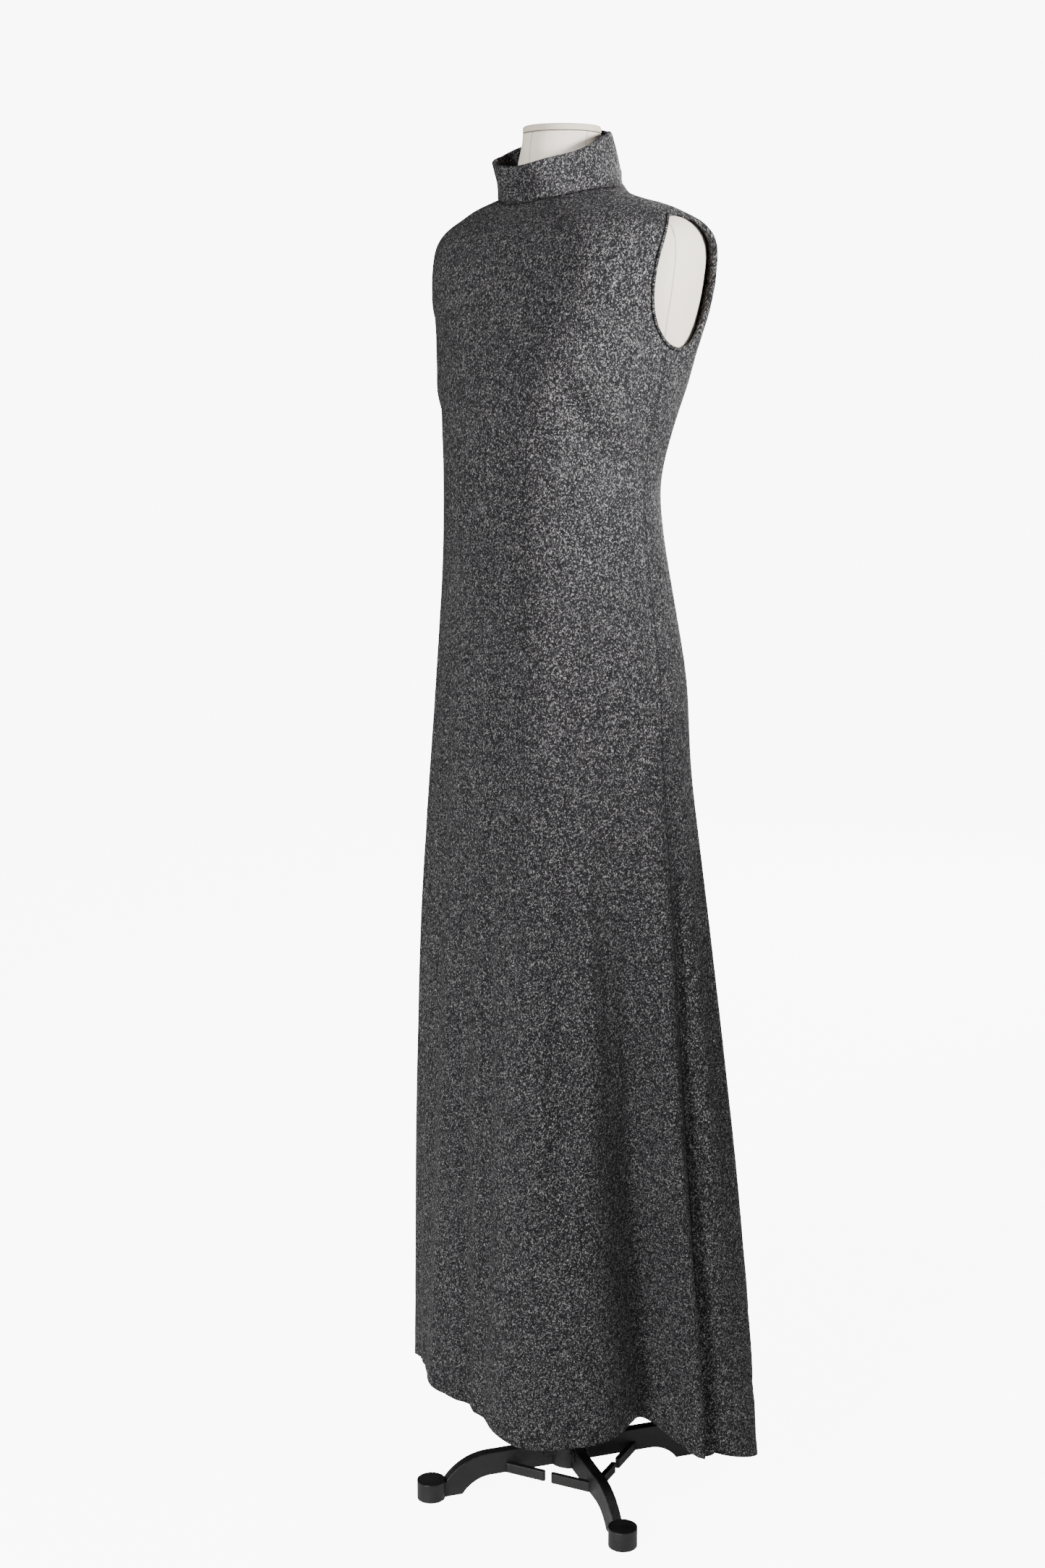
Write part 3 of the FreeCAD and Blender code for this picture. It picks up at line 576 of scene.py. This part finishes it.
def turned_metal(name, dark, light, rough_low, rough_high, drawn=(40.0, 40.0, 900.0)):
    """Bright metal with fine marks left by turning or drawing."""
    material, nodes, shader, place = new_material(name, Metallic=1.0)
    marks = nodes.noise(nodes.stretch(place, drawn), 1.0, 3.0, 0.6)
    tone = placed(nodes, TONE, Place=place, Patch_Scale=30.0, Grain_Scale=1200.0)
    nodes.join(nodes.blend(tone.outputs["Patches"], dark, light), shader.inputs["Base Color"])
    nodes.join(nodes.between(marks, 0.3, 0.7, rough_low, rough_high), shader.inputs["Roughness"])
    raise_surface(nodes, shader, marks, 0.0001, 0.5)
    return material


def painted_tube():
    """Satin black powder coat on tube."""
    material, nodes, shader, place = new_material("black_tube", Coat_Weight=0.15, Coat_Roughness=0.3)
    tone = placed(nodes, TONE, Place=place, Patch_Scale=20.0, Grain_Scale=1600.0)
    worn = placed(nodes, WEAR, Place=place, Width=0.0008, Breaks=260.0)
    colour = nodes.blend(tone.outputs["Patches"], (0.012, 0.012, 0.012), (0.022, 0.021, 0.021))
    colour = nodes.blend(nodes.maths("MULTIPLY", worn.outputs["Mask"], 0.5), colour, (0.16, 0.155, 0.15))
    nodes.join(colour, shader.inputs["Base Color"])
    nodes.join(nodes.between(tone.outputs["Grain"], 0.0, 1.0, 0.38, 0.5), shader.inputs["Roughness"])
    raise_surface(nodes, shader, tone.outputs["Grain"], 0.00012, 0.6)
    return material


def moulded_plastic(name, dark, light, rough, scratch_scale=900.0):
    """Moulded plastic with a fine mould texture and slightly uneven tone."""
    material, nodes, shader, place = new_material(name)
    tone = placed(nodes, TONE, Place=place, Patch_Scale=18.0, Grain_Scale=scratch_scale)
    nodes.join(nodes.blend(tone.outputs["Patches"], dark, light), shader.inputs["Base Color"])
    roughness = nodes.between(tone.outputs["Grain"], 0.0, 1.0, rough - 0.06, rough + 0.08)
    nodes.join(roughness, shader.inputs["Roughness"])
    raise_surface(nodes, shader, tone.outputs["Grain"], 0.00015, 0.5)
    return material


def plywood():
    """Birch plywood: long grain on its faces and thin plies at its edge."""
    material, nodes, shader, place = new_material("plywood")
    grain = nodes.noise(nodes.stretch(place, (9.0, 140.0, 9.0)), 1.0, 6.0, 0.62, 0.4)
    tones = [(0.25, (0.38, 0.24, 0.12)), (0.5, (0.55, 0.39, 0.22)), (0.75, (0.66, 0.50, 0.31))]
    colour = nodes.colours(grain, tones)
    parts = nodes.add("ShaderNodeSeparateXYZ")
    nodes.join(place, parts.inputs[0])
    plies = nodes.maths("SINE", nodes.maths("MULTIPLY", parts.outputs["Z"], 2 * math.pi / 0.0028))
    colour = nodes.blend(nodes.between(plies, 0.2, 0.9, 0.0, 0.35), colour, (0.28, 0.17, 0.09))
    nodes.join(colour, shader.inputs["Base Color"])
    nodes.join(nodes.between(grain, 0.2, 0.8, 0.55, 0.75), shader.inputs["Roughness"])
    raise_surface(nodes, shader, grain, 0.0003, 0.5)
    return material


FINISHES = {
    "black_iron": black_iron(),
    "black_tube": painted_tube(),
    "bright_steel": turned_metal("bright_steel", (0.42, 0.42, 0.41), (0.58, 0.57, 0.55), 0.24, 0.46),
    "chromed_tube": turned_metal("chromed_tube", (0.60, 0.60, 0.61), (0.70, 0.70, 0.70), 0.07, 0.16),
    "nylon": moulded_plastic("nylon", (0.66, 0.63, 0.56), (0.76, 0.73, 0.67), 0.5),
    "plywood": plywood(),
    "moulded_shell": moulded_plastic("moulded_shell", (0.42, 0.36, 0.28), (0.50, 0.44, 0.35), 0.62, 500.0),
    "black_plastic": moulded_plastic("black_plastic", (0.012, 0.012, 0.012), (0.02, 0.02, 0.02), 0.4, 1500.0),
    "cream_jersey": cream_jersey(),
    "metallic_knit": metallic_knit(),
}
for row in frame["record"]["subparts"]:
    cad_piece = NODES[row["node"]]
    cad_piece.data.materials.clear()
    cad_piece.data.materials.append(FINISHES[row["material_slot"]])


# ---- cloth map and seams of a grid of cloth ----


def map_cloth(piece, points, rows, columns, seam_columns):
    """Gives a closed grid its cloth map in metres, unstretched round the piece, and its distance from the
    nearest seam. The map's join is at the first column; along runs up from the last row."""
    grid = points.reshape(rows, columns, 3)
    round_it = np.linalg.norm(np.roll(grid, -1, axis=1) - grid, axis=2)
    across = np.concatenate([np.zeros((rows, 1)), np.cumsum(round_it, axis=1)], axis=1)
    middle = across[:, columns // 2]
    down = np.linalg.norm(np.diff(grid, axis=0), axis=2).mean(axis=1)
    along = np.concatenate([np.cumsum(down[::-1])[::-1], [0.0]])
    layer = piece.data.uv_layers.new(name="cloth")
    distance = np.full((rows, columns), 1.0)
    for seam in seam_columns:
        gap = np.abs(across[:, :columns] - across[:, [seam]])
        gap = np.minimum(gap, across[:, [columns]] - gap)
        distance = np.minimum(distance, gap)
    attribute = piece.data.attributes.new("seam_distance", "FLOAT", "POINT")
    attribute.data.foreach_set("value", distance.astype(np.float32).ravel())
    for polygon in piece.data.polygons:
        corners = [piece.data.loops[i].vertex_index for i in polygon.loop_indices]
        around = [c % columns for c in corners]
        wraps = max(around) - min(around) > columns // 2
        for loop, corner, column in zip(polygon.loop_indices, corners, around):
            row = corner // columns
            step = columns if wraps and column == 0 else column
            layer.data[loop].uv = (across[row, step] - middle[row], along[row])


# ---- torso cover ----

COVER_TREE = surface_tree("cover_front", "cover_back")
COVER_COLUMNS = 128
COVER_ROWS = 150
COVER_THICKNESS = 0.0016
COVER_SHOULDER_ROWS = 0.45  # share of the rows that lie over the shoulder
COVER_MARGIN = 0.0008
cover_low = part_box("cover_front")[0].z
cover_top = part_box("cover_front")[1].z


def bearings(columns):
    """Evenly spread bearings from the centre back round to it, kept off the CAD seams' gaps."""
    step = 360.0 / columns
    return [90.0 + step * (column + 0.02) for column in range(columns)]


def make_torso_cover():
    """The jersey skin of the form, with its two side seams and two centre seams sewn in."""
    points = []
    for row in range(COVER_ROWS):
        share = row / (COVER_ROWS - 1)
        shoulder = (cover_top - SHOULDER_LEVEL) / (cover_top - cover_low)
        if share < COVER_SHOULDER_ROWS:
            eased = share * shoulder / COVER_SHOULDER_ROWS
        else:
            eased = shoulder + (share - COVER_SHOULDER_ROWS) / (1 - COVER_SHOULDER_ROWS) * (1 - shoulder)
        level = cover_top - COVER_MARGIN - eased * (cover_top - cover_low - 2 * COVER_MARGIN)
        for bearing in bearings(COVER_COLUMNS):
            points.append(outermost(COVER_TREE, bearing, level))
    points = np.array([tuple(p) for p in points])
    faces = grid_faces(COVER_ROWS, COVER_COLUMNS)
    cover = mesh_piece("torso_cover", points, faces, FINISHES["cream_jersey"])
    quarter = COVER_COLUMNS // 4
    seams = [0, quarter, 2 * quarter, 3 * quarter]
    map_cloth(cover, points, COVER_ROWS, COVER_COLUMNS, seams)
    return cover


torso_cover = make_torso_cover()


# ---- gown ----

GOWN_TREE = surface_tree("gown_front", "gown_back_left", "gown_back_right", "cover_front", "cover_back")
TILT = Matrix.Rotation(math.radians(FUNNEL_TILT), 3, "X")
FUNNEL_FOOT = Vector((0.0, -NECK_FORWARD, FUNNEL_BASE_LEVEL))


def funnel_point(bearing, radius, up):
    """A point of the funnel neck's cone: up is along its own leaning axis from its base."""
    turn = math.radians(bearing)
    return FUNNEL_FOOT + TILT @ Vector((radius * math.cos(turn), radius * math.sin(turn), up))


def funnel_radius(up):
    tall = FUNNEL_HIGH_SIDE
    return FUNNEL_BASE_RADIUS + (FUNNEL_TOP_RADIUS - FUNNEL_BASE_RADIUS) * up / tall


def neck_seam(bearing):
    """Where the funnel neck meets the bodice at a bearing."""
    for step in range(40):
        up = -0.001 * step
        point = funnel_point(bearing, funnel_radius(0.0), up)
        out = Vector((point.x, point.y + NECK_FORWARD, 0.0)).length
        wall = outermost(GOWN_TREE, math.degrees(math.atan2(point.y + NECK_FORWARD, point.x)), point.z)
        if Vector((wall.x, wall.y + NECK_FORWARD, 0.0)).length >= out:
            return point
    return point


def hem_plane(bearing):
    turn = math.radians(bearing)
    y = HEM_CENTRE + 0.5 * (HEM_FRONT_REACH + HEM_BACK_REACH) * math.sin(turn)
    share = (y + HEM_FRONT_REACH) / (HEM_FRONT_REACH + HEM_BACK_REACH)
    return HEM_FRONT_LEVEL + (HEM_BACK_LEVEL - HEM_FRONT_LEVEL) * share


def hem_level(bearing):
    level = hem_plane(bearing)
    for middle, half_width, drop in HEM_DROPS:
        level += drop * float(bump_at(turn_between(bearing, middle), half_width))
    return level


def row_levels(top, hem):
    """The levels of one column's points from the neck seam to the hem, close together over the shoulder."""
    shoulder = np.linspace(top, SHOULDER_LEVEL, SHOULDER_ROWS, endpoint=False)
    bodice = np.linspace(SHOULDER_LEVEL, WAIST_LEVEL, BODICE_ROWS, endpoint=False)
    skirt = np.linspace(WAIST_LEVEL, hem, SKIRT_ROWS)
    return np.concatenate([shoulder, bodice, skirt])


def fold_depth(bearing, level, hem):
    """How far the skirt's folds push a point in or out."""
    depth = 0.0
    for middle, half_width, amount, start in FOLDS:
        grow = float(ramp(level, start, hem)) ** 0.8
        wander = 2.0 * math.sin(7.0 * level + middle)
        depth += amount * grow * float(bump_at(turn_between(bearing, middle + wander), half_width))
    return depth


def drag_depth(bearing, level, radius):
    """The bodice's slanting drag lines at a point."""
    depth = 0.0
    for (b0, z0), (b1, z1), half_width, amount in DRAG_LINES:
        along = np.array([math.radians(turn_between(b1, b0)) * radius, z1 - z0])
        here = np.array([math.radians(turn_between(bearing, b0)) * radius, level - z0])
        length = float(np.linalg.norm(along))
        share = float(here @ along) / length**2
        if -0.2 < share < 1.2:
            off = abs(float(here[0] * along[1] - here[1] * along[0])) / length
            fade = float(ramp(share, -0.1, 0.3)) * float(ramp(share, 1.15, 0.75))
            depth += amount * fade * float(bump_at(off, half_width))
    return depth


def armhole_share(y, z):
    """1 on the armhole's edge, less inside it and more outside."""
    return math.hypot((y - ARMHOLE_BACK) / ARMHOLE_HALF_WIDTH, (z - ARMHOLE_LEVEL) / ARMHOLE_HALF_HEIGHT)


def gown_points():
    columns = bearings(GOWN_COLUMNS)
    rows = SHOULDER_ROWS + BODICE_ROWS + SKIRT_ROWS
    points = np.zeros((rows, GOWN_COLUMNS, 3))
    for column, bearing in enumerate(columns):
        seam = neck_seam(bearing)
        hem = hem_level(bearing)
        clear = hem_plane(bearing) + 0.012
        for row, level in enumerate(row_levels(seam.z, hem)):
            if row == 0:
                points[row, column] = seam
                continue
            point = outermost(GOWN_TREE, bearing, level, clear)
            turn = math.radians(bearing)
            out = Vector((math.cos(turn), math.sin(turn), 0.0))
            radius = math.hypot(point.x, point.y - centre_line(level))
            push = fold_depth(bearing, level, hem) + drag_depth(bearing, level, radius)
            if level > TORSO_BASE_LEVEL:
                form = outermost(COVER_TREE, bearing, level)
                push = max(push, math.hypot(form.x, form.y - centre_line(level)) + COVER_ROOM - radius)
            if level < clear:
                push += 0.1 * (clear - level)
            points[row, column] = point + out * push
    return points


def cut_armholes(points):
    """Takes out the faces inside each armhole, draws the edge left onto a clean ellipse, and flares it."""
    rows, columns = points.shape[:2]
    keep = []
    flat = points.reshape(-1, 3)
    for face in grid_faces(rows, columns):
        middle = flat[list(face)].mean(axis=0)
        if abs(middle[0]) < 0.1 or armhole_share(middle[1], middle[2]) > 1.0:
            keep.append(face)
    uses = {}
    for face in keep:
        for a, b in zip(face, face[1:] + face[:1]):
            edge = (min(a, b), max(a, b))
            uses[edge] = uses.get(edge, 0) + 1
    edge_points = set()
    for (a, b), count in uses.items():
        if count == 1 and all(columns <= i < (rows - 1) * columns for i in (a, b)):
            edge_points.update((a, b))
    for index in edge_points:
        x, y, z = flat[index]
        share = armhole_share(y, z)
        y = ARMHOLE_BACK + (y - ARMHOLE_BACK) / share
        z = ARMHOLE_LEVEL + (z - ARMHOLE_LEVEL) / share
        side = math.copysign(1.0, x)
        hit = GOWN_TREE.ray_cast(Vector((side, y * 1.02, z)), Vector((-side, 0.0, 0.0)))[0]
        flat[index] = (hit.x if hit else x, y, z)
    for index, (x, y, z) in enumerate(flat):
        if abs(x) < 0.1 or z < 1.30:
            continue
        share = armhole_share(y, z)
        near = float(bump_at(max(share - 1.0, 0.0), 0.38))
        gape = ARMHOLE_GAPE * (0.12 + 0.88 * float(ramp(y, 0.0, 0.040)))
        if x < 0.0:
            gape += RIGHT_FRONT_GAPE * float(ramp(y, -0.010, -0.040)) * float(ramp(z, 1.46, 1.40))
        flat[index, 0] += math.copysign(gape * near, x)
        if y < 0.0:
            flat[index, 1] -= 0.6 * gape * near
    return keep, sorted(edge_points)


def settle(piece, held, frames=18, reach=0.014):
    """Lets the cloth hang by simulation over the form, then caps how far each point may have moved."""
    start = np.array([v.co for v in piece.data.vertices], float)
    group = piece.vertex_groups.new(name="held")
    for index, weight in enumerate(held):
        group.add([index], float(weight), "REPLACE")
    solid = torso_cover.modifiers.new("solid", "COLLISION")
    torso_cover.collision.thickness_outer = 0.002
    cloth = piece.modifiers.new("cloth", "CLOTH")
    settings = cloth.settings
    settings.quality = 5
    settings.mass = 0.12
    settings.tension_stiffness = 18.0
    settings.compression_stiffness = 8.0
    settings.shear_stiffness = 6.0
    settings.bending_stiffness = 0.25
    settings.air_damping = 2.0
    settings.shrink_min = -0.012
    settings.vertex_group_mass = "held"
    settings.pin_stiffness = 1.2
    cloth.collision_settings.distance_min = 0.002
    cloth.collision_settings.use_self_collision = False
    cloth.point_cache.frame_start = 1
    cloth.point_cache.frame_end = frames
    for step in range(1, frames + 1):
        bpy.context.scene.frame_set(step)
    apply_all(piece)
    torso_cover.modifiers.remove(solid)
    bpy.context.scene.frame_set(1)
    settled = np.array([v.co for v in piece.data.vertices], float)
    move = settled - start
    length = np.linalg.norm(move, axis=1, keepdims=True)
    move *= np.minimum(1.0, reach / np.maximum(length, 1e-9))
    piece.data.vertices.foreach_set("co", (start + move).astype(np.float32).ravel())
    piece.data.update()
    piece.vertex_groups.clear()


def make_gown():
    points = gown_points()
    faces, armhole_edge = cut_armholes(points)
    rows, columns = points.shape[:2]
    gown = mesh_piece("gown_cloth", points.reshape(-1, 3), faces, FINISHES["metallic_knit"])
    quarter = columns // 4
    map_cloth(gown, points, rows, columns, [0, quarter, 3 * quarter])
    used = np.zeros(rows * columns, bool)
    for face in faces:
        used[list(face)] = True
    levels = points.reshape(-1, 3)[:, 2]
    held = 0.10 + 0.90 * ramp(levels, 1.18, 1.36) + 0.05 * ramp(levels, 0.35, 0.12)
    held = np.clip(held, 0.0, 1.0)
    for index in armhole_edge:
        held[index] = 1.0
    settle(gown, held)
    shape = np.array([v.co for v in gown.data.vertices], float).reshape(rows, columns, 3)
    loose = [i for i in range(rows * columns) if not used[i]]
    mesh = bmesh.new()
    mesh.from_mesh(gown.data)
    mesh.verts.ensure_lookup_table()
    bmesh.ops.delete(mesh, geom=[mesh.verts[i] for i in loose], context="VERTS")
    mesh.to_mesh(gown.data)
    mesh.free()
    return gown, shape


gown, gown_shape = make_gown()


def strip_inside(name, shape, row_numbers, inward, material):
    """A second layer of cloth just inside the gown, along some of its rows."""
    columns = shape.shape[1]
    points = []
    for row, inset in zip(row_numbers, inward):
        ring = shape[row]
        centre = ring.mean(axis=0)
        for point in ring:
            out = np.array([point[0] - centre[0], point[1] - centre[1], 0.0])
            points.append(point - out / max(float(np.linalg.norm(out)), 1e-6) * inset)
    points = np.array(points)
    count = len(row_numbers)
    piece = mesh_piece(name, points, grid_faces(count, columns), material)
    map_cloth(piece, points, count, columns, [0])
    return piece


last_row = gown_shape.shape[0] - 1
hem_rows = [last_row - k for k in range(HEM_DEPTH_ROWS, -1, -1)]
hem_turn_up = strip_inside("hem_turn_up", gown_shape, hem_rows, [0.0028, 0.0026, 0.0026, 0.0016],
                           FINISHES["metallic_knit"])


def make_armhole_facing(side, label):
    """The cloth turned in round an armhole: a rolled edge with a band that goes in behind it."""
    gown_tree = BVHTree.FromPolygons(
        [v.co.copy() for v in gown.data.vertices], [tuple(p.vertices) for p in gown.data.polygons]
    )
    points = []
    for wider, out in FACING_STEPS:
        for step in range(FACING_COLUMNS):
            turn = 2 * math.pi * step / FACING_COLUMNS
            y = ARMHOLE_BACK + ARMHOLE_HALF_WIDTH * (1 + wider) * math.cos(turn)
            z = ARMHOLE_LEVEL + ARMHOLE_HALF_HEIGHT * (1 + wider * 0.6) * math.sin(turn)
            y_edge = ARMHOLE_BACK + ARMHOLE_HALF_WIDTH * max(1.02, 1 + wider) * math.cos(turn)
            z_edge = ARMHOLE_LEVEL + ARMHOLE_HALF_HEIGHT * max(1.015, 1 + wider * 0.6) * math.sin(turn)
            near = gown_tree.find_nearest(Vector((side * 0.19, y_edge, z_edge)))[0]
            hit = gown_tree.ray_cast(Vector((side * 0.5, y_edge, z_edge)), Vector((-side, 0.0, 0.0)))[0]
            x = abs((hit if hit and hit.x * side > 0.1 else near).x)
            arm = COVER_TREE.ray_cast(Vector((side * 0.5, y, z)), Vector((-side, 0.0, 0.0)))[0]
            room = max(0.0, min(FACING_DEPTH, x - abs(arm.x) - 0.0016)) if arm else FACING_DEPTH
            shift = out if out > 0 else out * room
            points.append((side * (x + shift - 0.0004), y, z))
    count = len(FACING_STEPS)
    faces = grid_faces(count, FACING_COLUMNS)
    piece = mesh_piece("armhole_facing_" + label, points, faces, FINISHES["metallic_knit"])
    map_cloth(piece, np.array(points), count, FACING_COLUMNS, [0])
    return piece


def face_outward(piece):
    """Merges doubles and turns every face outward."""
    pick(piece)
    bpy.ops.object.mode_set(mode="EDIT")
    bpy.ops.mesh.select_all(action="SELECT")
    bpy.ops.mesh.remove_doubles(threshold=0.00001)
    bpy.ops.mesh.normals_make_consistent(inside=False)
    bpy.ops.object.mode_set(mode="OBJECT")


facings = [make_armhole_facing(1, "left"), make_armhole_facing(-1, "right")]


def make_funnel_neck():
    """The funnel neck: one band of cloth folded double, rolled over at its top and sewn on at its base."""
    columns = 120
    inner = FUNNEL_WALL
    levels = [(-1.0, 0.0), (-0.35, 0.0004), (0.0, 0.0010), (0.06, 0.0016)]
    levels += [(0.06 + 0.88 * k / 8, 0.0010) for k in range(1, 9)]
    levels += [(0.985, 0.0004), (1.0, -0.0006), (0.99, -0.0018)]
    levels += [(0.94 - 0.94 * k / 7, -inner) for k in range(0, 8)]
    points = []
    for share, out in levels:
        for bearing in bearings(columns):
            high = 0.5 + 0.5 * math.sin(math.radians(bearing))
            tall = FUNNEL_LOW_SIDE + (FUNNEL_HIGH_SIDE - FUNNEL_LOW_SIDE) * high
            tall += 0.0022 * math.sin(math.radians(2 * bearing + 40))
            tall += 0.0012 * math.sin(math.radians(5 * bearing))
            up = max(share, 0.0) * tall
            soft = 0.0022 * math.sin(math.radians(3 * bearing + 70)) * up / tall
            soft += 0.0010 * math.sin(math.radians(7 * bearing) + 90 * up)
            point = funnel_point(bearing, funnel_radius(up) + out + soft, up)
            if share < 0:
                seam = neck_seam(bearing)
                point = point.lerp(seam, -share)
            points.append(point)
    points = np.array([tuple(p) for p in points])
    faces = grid_faces(len(levels), columns)
    piece = mesh_piece("funnel_neck", points, faces, FINISHES["metallic_knit"])
    map_cloth(piece, points, len(levels), columns, [0])
    return piece


funnel_neck = make_funnel_neck()

face_outward(torso_cover)
thicken(torso_cover, COVER_THICKNESS)
for piece, wall in ((gown, CLOTH), (hem_turn_up, CLOTH), (facings[0], 0.0009), (facings[1], 0.0009)):
    face_outward(piece)
    thicken(piece, wall)
face_outward(funnel_neck)
thicken(funnel_neck, 0.0008)

GOWN_PIECES = [gown, hem_turn_up, facings[0], facings[1], funnel_neck]
for piece in GOWN_PIECES:
    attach(piece, "torso")
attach(torso_cover, "torso")
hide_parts("cover_front", "cover_back")
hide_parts("gown_front", "gown_back_left", "gown_back_right")
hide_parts("gown_funnel")


# ---- floor, light and camera ----


def make_stage():
    """A plain pale floor, as bright to the camera as the backdrop."""
    material = bpy.data.materials.new("studio_floor")
    material.use_nodes = True
    shader = material.node_tree.nodes["Principled BSDF"]
    shader.inputs["Base Color"].default_value = (0.93, 0.93, 0.93, 1.0)
    shader.inputs["Roughness"].default_value = 0.7
    shader.inputs["Emission Color"].default_value = (1.0, 1.0, 1.0, 1.0)
    nodes = Nodes(material.node_tree)
    seen = nodes.add("ShaderNodeMapRange")
    seen.inputs["To Min"].default_value = FLOOR_BOUNCE
    seen.inputs["To Max"].default_value = BACKDROP_STRENGTH
    nodes.join(nodes.add("ShaderNodeLightPath").outputs["Is Camera Ray"], seen.inputs["Value"])
    nodes.join(seen.outputs["Result"], shader.inputs["Emission Strength"])
    bpy.ops.mesh.primitive_plane_add(size=40.0, location=(0.0, 0.0, 0.0))
    floor = bpy.context.object
    floor.name = "studio_floor"
    floor.data.materials.append(material)


def soft_light(name, place, size, power, aim=(0.0, 0.0, 0.85)):
    data = bpy.data.lights.new(name, "AREA")
    data.shape = "RECTANGLE"
    data.size, data.size_y = size
    data.energy = power
    lamp = bpy.data.objects.new(name, data)
    bpy.context.scene.collection.objects.link(lamp)
    lamp.location = place
    lamp.rotation_euler = (Vector(aim) - Vector(place)).to_track_quat("-Z", "Y").to_euler()
    return lamp


def bright_world():
    world = bpy.data.worlds.new("studio_world")
    world.use_nodes = True
    world.node_tree.nodes["Background"].inputs["Color"].default_value = (1.0, 1.0, 1.0, 1.0)
    world.node_tree.nodes["Background"].inputs["Strength"].default_value = FILL_STRENGTH
    nodes = Nodes(world.node_tree)
    seen = nodes.add("ShaderNodeBackground")
    seen.inputs["Color"].default_value = (1.0, 1.0, 1.0, 1.0)
    seen.inputs["Strength"].default_value = BACKDROP_STRENGTH
    choose = nodes.add("ShaderNodeMixShader")
    nodes.join(nodes.add("ShaderNodeLightPath").outputs["Is Camera Ray"], choose.inputs[0])
    nodes.join(world.node_tree.nodes["Background"].outputs[0], choose.inputs[1])
    nodes.join(seen.outputs[0], choose.inputs[2])
    nodes.join(choose.outputs[0], world.node_tree.nodes["World Output"].inputs["Surface"])
    bpy.context.scene.world = world


def make_camera():
    data = bpy.data.cameras.new("camera")
    data.lens = LENS
    data.sensor_width = SENSOR
    camera = bpy.data.objects.new("camera", data)
    bpy.context.scene.collection.objects.link(camera)
    camera.location = CAMERA_PLACE
    camera.rotation_euler = (math.radians(CAMERA_TILT), 0.0, math.radians(VIEW_AZIMUTH))
    bpy.context.scene.camera = camera


make_stage()
bright_world()
soft_light("key_light", (0.8, -3.3, 2.0), (0.6, 2.0), 165.0)
arm_light = soft_light("arm_light", (2.6, 0.9, 1.9), (0.4, 0.7), 7.0, (0.1, 0.0, 1.46))
arm_light.data.spread = math.radians(26.0)
soft_light("side_light", (3.0, 1.4, 1.6), (0.4, 2.2), 16.0)
soft_light("back_light", (-1.6, 3.2, 2.0), (1.2, 2.2), 70.0)
make_camera()
